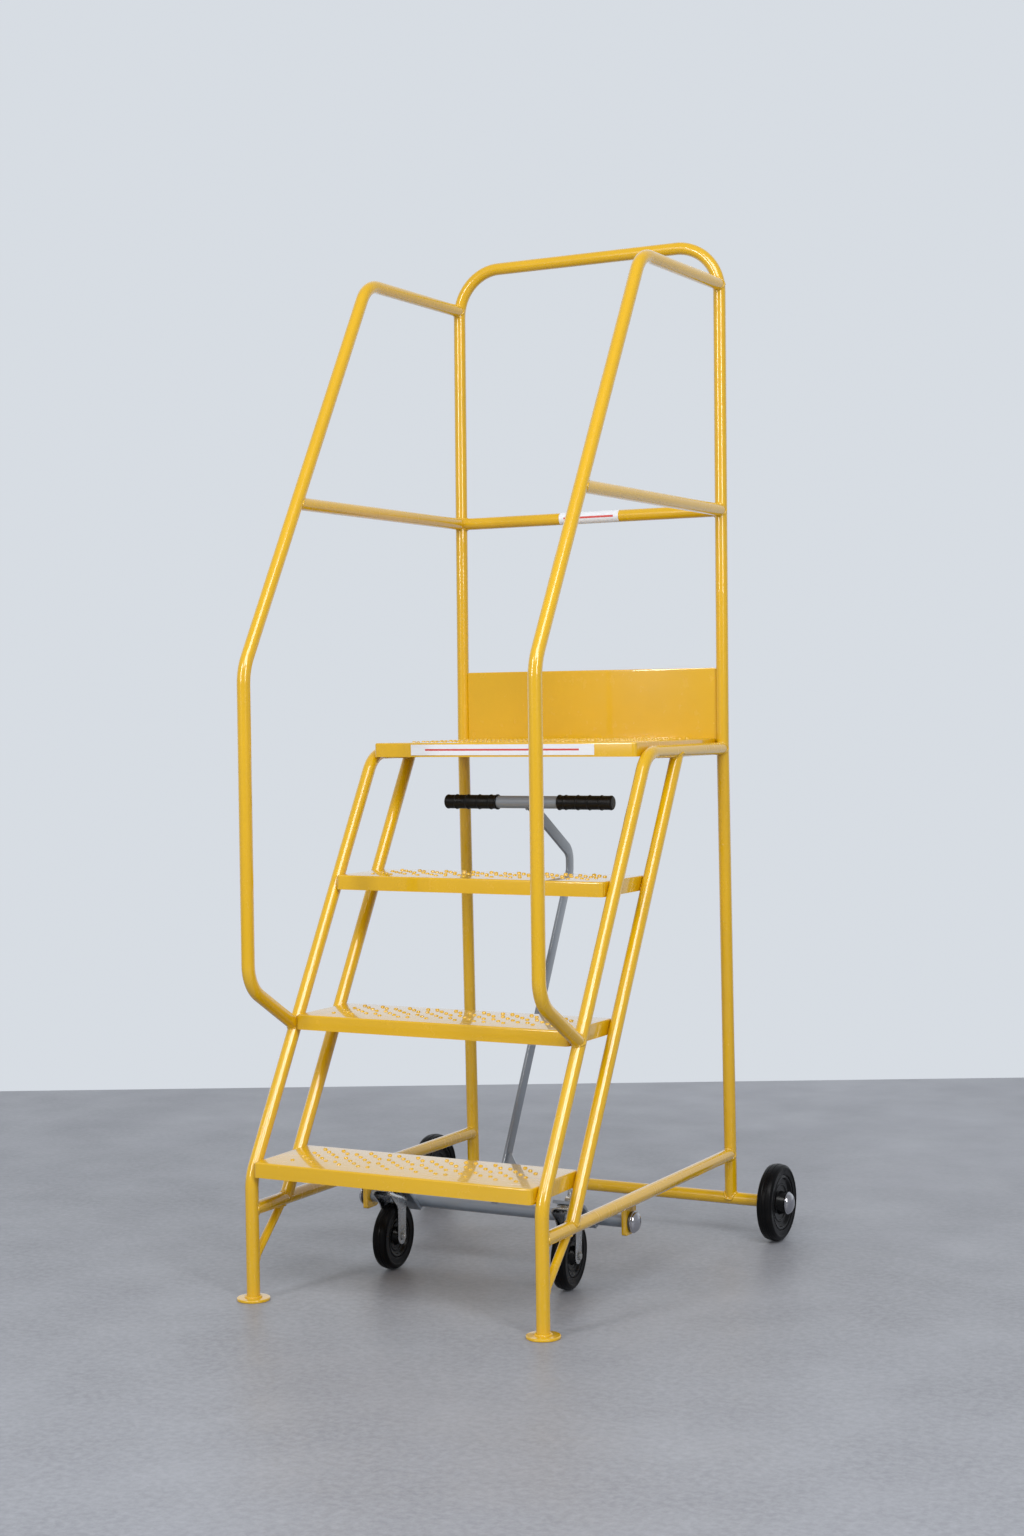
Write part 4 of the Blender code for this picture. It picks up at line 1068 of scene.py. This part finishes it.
def fork_mesh(name, lean):
    """Pressed fork: an arch of sheet whose wide crown sweeps down to straight, round-ended legs."""
    low = -CASTOR_DROP - FORK_BOSS_RADIUS - 0.002
    out, inside = FORK_HALF_WIDTH, FORK_HALF_WIDTH - FORK_SHEET
    section = rounded_loop([
        (-out, low, 0), (-inside, low, 0), (-inside, FORK_TOP - FORK_SHEET, 0.007),
        (inside, FORK_TOP - FORK_SHEET, 0.007), (inside, low, 0), (out, low, 0),
        (out, FORK_TOP, 0.010), (-out, FORK_TOP, 0.010),
    ], math.radians(12))
    curve_mesh = plate_mesh(name, [section], 0.12, ZINC, edge=0.0)
    axle = Vector((CASTOR_TRAIL, -CASTOR_DROP, 0))
    up = Vector((-math.sin(lean), math.cos(lean), 0))
    back = Vector((up.y, -up.x, 0)) * FORK_BOSS_RADIUS
    side = [Vector((FORK_CROWN_REAR, FORK_TOP + 0.002, 0)), Vector((FORK_CROWN_FRONT, FORK_TOP + 0.002, 0))]
    side += rounded_path([
        (Vector((FORK_CROWN_FRONT, FORK_TOP - 0.010, 0)), 0),
        (axle - back + up * FORK_LEG_CORNER, FORK_LEG_BEND),
        (axle - back, 0),
    ])
    for step in range(1, 24):
        turn = math.pi * step / 24
        side.append(axle - back * math.cos(turn) - up * (FORK_BOSS_RADIUS * math.sin(turn)))
    side += [axle + back, axle + back + up * FORK_REAR_RISE]
    side_mesh = plate_mesh("side", [side], 0.08, ZINC, edge=0.0)
    holder = scratch_object(name, curve_mesh)
    holder.matrix_world = Matrix.Rotation(math.pi / 2, 4, "X")
    axle_hole = lathe_mesh("hole", cylinder_profile(AXLE_RADIUS + 0.0006, 0.05), ZINC, steps=32)
    king_hole = lathe_mesh("hole", cylinder_profile(KING_RADIUS + 0.0008, 0.04), ZINC, steps=32)
    cutters = [
        cut(holder, side_mesh, SIDE_PLANE, "INTERSECT"),
        cut(holder, axle_hole, to_axis((0, CASTOR_TRAIL, -CASTOR_DROP), (1, 0, 0))),
        cut(holder, king_hole, Matrix.Identity(4)),
    ]
    soften = holder.modifiers.new("soften", "BEVEL")
    soften.width = 0.0006
    soften.segments = 2
    soften.limit_method = "ANGLE"
    soften.angle_limit = math.radians(50)
    mesh = evaluated_mesh(holder, name)
    for cutter in cutters:
        bpy.data.objects.remove(cutter)
    mesh.transform(Matrix.Rotation(math.pi / 2, 4, "X"))
    return finish_mesh(mesh, ZINC, 30)


def hex_nut_mesh(name, across_flats, height, bore, material):
    corner = across_flats / 2 / math.cos(math.pi / 6)
    turns = [math.pi / 3 * step for step in range(6)]
    outline = [(corner * math.cos(a), corner * math.sin(a)) for a in turns]
    return plate_mesh(name, [outline, circle(bore, steps=32)], height, material, edge=0.0007)


def threaded_profile(radius, bottom, top, pitch=0.0015):
    """A stud with a turned thread form between two heights."""
    profile = [(0, bottom), (radius, bottom)]
    height = bottom + pitch
    while height < top - pitch:
        profile += [(radius, height), (radius - 0.0006, height + pitch / 2)]
        height += pitch
    return profile + [(radius, top - 0.001), (radius - 0.001, top), (0, top)]


def make_castor(side, welds):
    swivel_joint = JOINTS["castor_swivel_spin_" + side]
    wheel_joint = JOINTS["castor_wheel_spin_" + side]
    king = Vector(swivel_joint["pos_m"])
    up = Vector(swivel_joint["axis"]).normalized()
    axle_way = Vector(wheel_joint["axis"]).normalized()
    axle_point = Vector(wheel_joint["pos_m"])
    lean = math.atan2(up.y, up.z)
    thickness = ARM_THICKNESS
    x = king.x
    arm_body, swivel_body, wheel_body = "lever", "castor_swivel_" + side, "castor_wheel_" + side

    points = arm_points(king, lean, thickness)
    width = extent("castor_arm_" + side).x
    outline = strip_outline(points, thickness)
    mesh = plate_mesh("castor_arm_plate_" + side, [outline], width, GREY, edge=0.0009)
    place = Matrix.Translation((x, PIVOT.y, PIVOT.z)) @ SIDE_PLANE
    piece(mesh.name, mesh, arm_body, ["castor_arm_" + side], place)
    end = Vector((x, PIVOT.y + points[-1].x, PIVOT.z + points[-1].y))
    for edge in (-1, 1):
        start = Vector((x + edge * (width / 2 - 0.001), end.y - 0.006, end.z + 0.004))
        welds.line(start, start + Vector((0, 0.010, -0.002)), size=0.9)

    king_place = to_axis(king, up)
    nut = hex_nut_mesh("castor_stud_nut_" + side, material=ZINC, **STUD_NUT)
    nut_place = king_place @ Matrix.Translation((0, 0, STUD_NUT_MIDDLE))
    piece(nut.name, nut, arm_body, ["castor_nut_" + side], nut_place)
    spring_washer = [(0.0102, 0.0), (0.0102, 0.0014), (0.0053, 0.0014), (0.0053, 0.0)]
    turned(
        "castor_stud_washer_" + side, spring_washer, ZINC, arm_body, [], king_place,
        closed=True, steps=48,
    )
    rivet = FORK_TOP - FORK_SHEET - 0.0003
    stud = threaded_profile(KING_RADIUS, STUD_BOTTOM, STUD_TOP)
    stud = [(0, rivet - RIVET_HEIGHT)] + soft_profile([
        (RIVET_RADIUS - 0.0030, rivet - RIVET_HEIGHT, 0),
        (RIVET_RADIUS, rivet - 0.0030, 0.001),
        (RIVET_RADIUS, rivet, 0.0004),
        (KING_RADIUS, rivet, 0),
    ]) + stud[1:]
    turned(
        "castor_stud_" + side, stud, ZINC, arm_body, ["castor_king_bolt_" + side], king_place,
        steps=48, sharp=30,
    )
    head = soft_profile([
        (HEAD_BORE, HEAD_TOP, 0), (0.0205, HEAD_TOP, 0.0006), (HEAD_RADIUS, HEAD_TOP - 0.0022, 0.0006),
        (0.0205, HEAD_TOP - 0.0026, 0.0003), (0.0185, HEAD_TOP - 0.0030, 0.0003),
        (0.0185, HEAD_TOP - 0.0044, 0.0003), (0.0218, HEAD_TOP - 0.0048, 0.0004),
        (0.0214, HEAD_BOTTOM, 0.0010), (HEAD_BORE, HEAD_BOTTOM, 0),
    ])
    turned(
        "castor_swivel_head_" + side, head, ZINC, arm_body, ["castor_head_" + side], king_place,
        closed=True, steps=72,
    )

    back = up.cross(axle_way)
    columns = (axle_way, back, up)
    turn = Matrix([[columns[j][i] for j in range(3)] for i in range(3)]).to_4x4()
    mesh = fork_mesh("castor_pressed_fork_" + side, lean)
    swivel_place = Matrix.Translation(king) @ turn
    piece(mesh.name, mesh, swivel_body, ["castor_fork_" + side], swivel_place)

    axle_place = to_axis(axle_point, axle_way)
    reach = FORK_HALF_WIDTH
    bolt = soft_profile([
        (0, -reach - 0.0054, 0), (0.0058, -reach - 0.0054, 0.0012), (0.0066, -reach - 0.0003, 0.0003),
        (AXLE_RADIUS, -reach - 0.0003, 0), (AXLE_RADIUS, reach + 0.0052, 0.0006), (0, reach + 0.0052, 0),
    ])
    turned(
        "castor_axle_pin_" + side, bolt, ZINC, swivel_body, ["castor_axle_bolt_" + side], axle_place,
        steps=40,
    )
    nut = hex_nut_mesh("castor_axle_nut_" + side, material=ZINC, **AXLE_NUT)
    place = axle_place @ Matrix.Translation((0, 0, reach + 0.0025))
    piece(nut.name, nut, swivel_body, [], place)

    profile = ribbed_tyre(CASTOR_RADIUS, CASTOR_RIM_RADIUS - 0.0001, CASTOR_TYRE_WIDTH)
    turned(
        "castor_wheel_tyre_" + side, profile, TYRE, wheel_body, ["castor_tyre_" + side], axle_place,
        closed=True, steps=TYRE_STEPS,
    )
    rim = CASTOR_RIM_RADIUS - 0.0003
    centre = ribbed_centre(rim, CASTOR_TYRE_WIDTH - 0.004, CASTOR_HUB_RADIUS, CASTOR_HUB_WIDTH, 0.0046)
    turned(
        "castor_wheel_centre_" + side, centre, MOULDED, wheel_body, ["castor_rim_" + side], axle_place,
        closed=True,
    )


# ---------------------------------------------------------------- floor, light, camera

CAMERA_YAW = math.radians(27.98)
CAMERA_PITCH = math.radians(-1.56)
CAMERA_ROLL = math.radians(-0.765)
CAMERA_LENS = 53.95
CAMERA_PLACE = (2.118, FRONT_Y - 3.507, 1.093)
FLOOR_WIDTH = 14.0
FLOOR_AHEAD = 6.0
FLOOR_BEHIND = 2.13
# Painted light: between these two depths the floor's colour grows lighter towards the back, standing in for a
# brighter lit far floor.
FLOOR_PAINTED_LIGHT_FROM = 0.2
FLOOR_PAINTED_LIGHT_TO = 1.9
BACKDROP = (0.68, 0.72, 0.77)
WALL_SIDE = (0.72, 0.76, 0.81)
DARK_SIDE = (0.37, 0.38, 0.40)

# Soft lights: name, degrees to the right of the camera as seen from the stand, height, size, watts
LIGHT_REACH = 4.4
SOFTBOXES = (
    ("softbox_left", -45, 2.7, (0.55, 2.3), 62),
    ("softbox_right", 27, 2.7, (0.55, 2.3), 62),
    ("overhead", 0, 5.2, (3.6, 2.4), 170),
)


def make_stage():
    """A pale floor that ends in a straight line well behind the stand, under soft light, with painted light
    that makes its colour lighter towards the back.
    """
    shape = bmesh.new()
    bmesh.ops.create_grid(shape, x_segments=1, y_segments=1, size=0.5)
    scale = Matrix.Diagonal((FLOOR_WIDTH, FLOOR_AHEAD + FLOOR_BEHIND, 1, 1))
    shift = Matrix.Translation((0, (FLOOR_BEHIND - FLOOR_AHEAD) / 2, -0.0003))
    turn = Matrix.Rotation(CAMERA_YAW, 4, "Z")
    bmesh.ops.transform(shape, matrix=turn @ shift @ scale, verts=shape.verts)
    mesh = bpy.data.meshes.new("floor")
    shape.to_mesh(mesh)
    shape.free()
    floor = scratch_object("floor", mesh)
    made = Shader("pale_floor", (0.33, 0.345, 0.38), 0.5)
    cloud = made.spread(made.noise(3.0, 9.0, 0.66), 0.36, 0.66, 0.0, 1.0)
    grain = made.spread(made.noise(75.0, 5.0, 0.7), 0.38, 0.66, 0.0, 1.0)
    split = made.node("ShaderNodeSeparateXYZ")
    made.link(made.place, split.inputs["Vector"])
    # Painted light: both stone colours grow lighter towards the back, standing in for the brighter far floor.
    far_floor_painted_light = made.spread(split.outputs["Y"], FLOOR_PAINTED_LIGHT_FROM, FLOOR_PAINTED_LIGHT_TO, 0.0, 1.0)
    dark_stone = made.tint(((0.246, 0.253, 0.280), (0.350, 0.361, 0.400)), far_floor_painted_light)
    light_stone = made.tint(((0.296, 0.305, 0.337), (0.420, 0.432, 0.478)), far_floor_painted_light)
    stone = made.tint((dark_stone, light_stone), cloud)
    made.colour(made.tint((stone, (0.400, 0.410, 0.445)), made.math("MULTIPLY", grain, 0.55)))
    made.roughness(made.spread(made.noise(5.0, 5.0), 0.3, 0.7, 0.36, 0.52))
    floor.data.materials.append(made.material)

    world = bpy.data.worlds.new("studio")
    world.use_nodes = True
    tree = world.node_tree
    seen = tree.nodes["Background"]
    seen.inputs["Color"].default_value = (*BACKDROP, 1)
    room = tree.nodes.new("ShaderNodeBackground")
    place = tree.nodes.new("ShaderNodeTexCoord")
    towards_wall = tree.nodes.new("ShaderNodeVectorMath")
    towards_wall.operation = "DOT_PRODUCT"
    towards_wall.inputs[1].default_value = (-math.sin(CAMERA_YAW), math.cos(CAMERA_YAW), -0.15)
    fade = tree.nodes.new("ShaderNodeValToRGB")
    fade.color_ramp.interpolation = "EASE"
    fade.color_ramp.elements[0].position = 0.50
    fade.color_ramp.elements[0].color = (*DARK_SIDE, 1)
    fade.color_ramp.elements[1].position = 0.88
    fade.color_ramp.elements[1].color = (*WALL_SIDE, 1)
    half = tree.nodes.new("ShaderNodeMath")
    half.operation = "MULTIPLY_ADD"
    half.inputs[1].default_value = 0.5
    half.inputs[2].default_value = 0.5
    path = tree.nodes.new("ShaderNodeLightPath")
    mix = tree.nodes.new("ShaderNodeMixShader")
    tree.links.new(place.outputs["Generated"], towards_wall.inputs[0])
    tree.links.new(towards_wall.outputs["Value"], half.inputs[0])
    tree.links.new(half.outputs[0], fade.inputs["Fac"])
    tree.links.new(fade.outputs["Color"], room.inputs["Color"])
    tree.links.new(path.outputs["Is Camera Ray"], mix.inputs["Fac"])
    tree.links.new(room.outputs[0], mix.inputs[1])
    tree.links.new(seen.outputs[0], mix.inputs[2])
    tree.links.new(mix.outputs[0], tree.nodes["World Output"].inputs["Surface"])
    bpy.context.scene.world = world
    bpy.context.scene.view_settings.view_transform = "Standard"

    for name, turn, height, size, power in SOFTBOXES:
        light = bpy.data.lights.new(name, "AREA")
        light.shape = "RECTANGLE"
        light.size, light.size_y = size
        light.energy = power
        lamp = scratch_object(name, light)
        heading = CAMERA_YAW + math.radians(turn)
        lamp.location = (math.sin(heading) * LIGHT_REACH, -math.cos(heading) * LIGHT_REACH, height)
        aim = Vector((0, 0, 1.0)) - lamp.location
        lamp.rotation_euler = aim.to_track_quat("-Z", "Y").to_euler()


def make_camera():
    """The camera stands front right, a little above the platform's height, turned 28 degrees."""
    yaw, pitch, roll = CAMERA_YAW, CAMERA_PITCH, CAMERA_ROLL
    ahead = Vector((-math.sin(yaw) * math.cos(pitch), math.cos(yaw) * math.cos(pitch), math.sin(pitch)))
    right = Vector((math.cos(yaw), math.sin(yaw), 0))
    above = right.cross(ahead)
    level_right = right * math.cos(roll) + above * math.sin(roll)
    level_up = above * math.cos(roll) - right * math.sin(roll)
    data = bpy.data.cameras.new("camera")
    data.lens = CAMERA_LENS
    data.sensor_width = 36
    camera = scratch_object("camera", data)
    turn = Matrix((level_right, level_up, -ahead)).transposed().to_4x4()
    camera.matrix_world = Matrix.Translation(CAMERA_PLACE) @ turn
    bpy.context.scene.camera = camera


# ---------------------------------------------------------------- everything together

make_camera()
make_stage()
frame_welds = Welds("frame_weld_beads", "frame", YELLOW)
lever_welds = Welds("lever_weld_beads", "lever", GREY)
make_frame(frame_welds)
for step_name in TREAD_NAMES:
    make_tray("step_" + step_name, step_name, frame_welds)
make_tray("deck_sheet", "platform", frame_welds)
make_kick_plate(frame_welds)
make_stickers()
make_rear_wheels()
make_pivot(frame_welds)
make_lever(lever_welds)
for side_name in SIDES:
    make_castor(side_name, lever_welds)
frame_welds.finish()
lever_welds.finish()
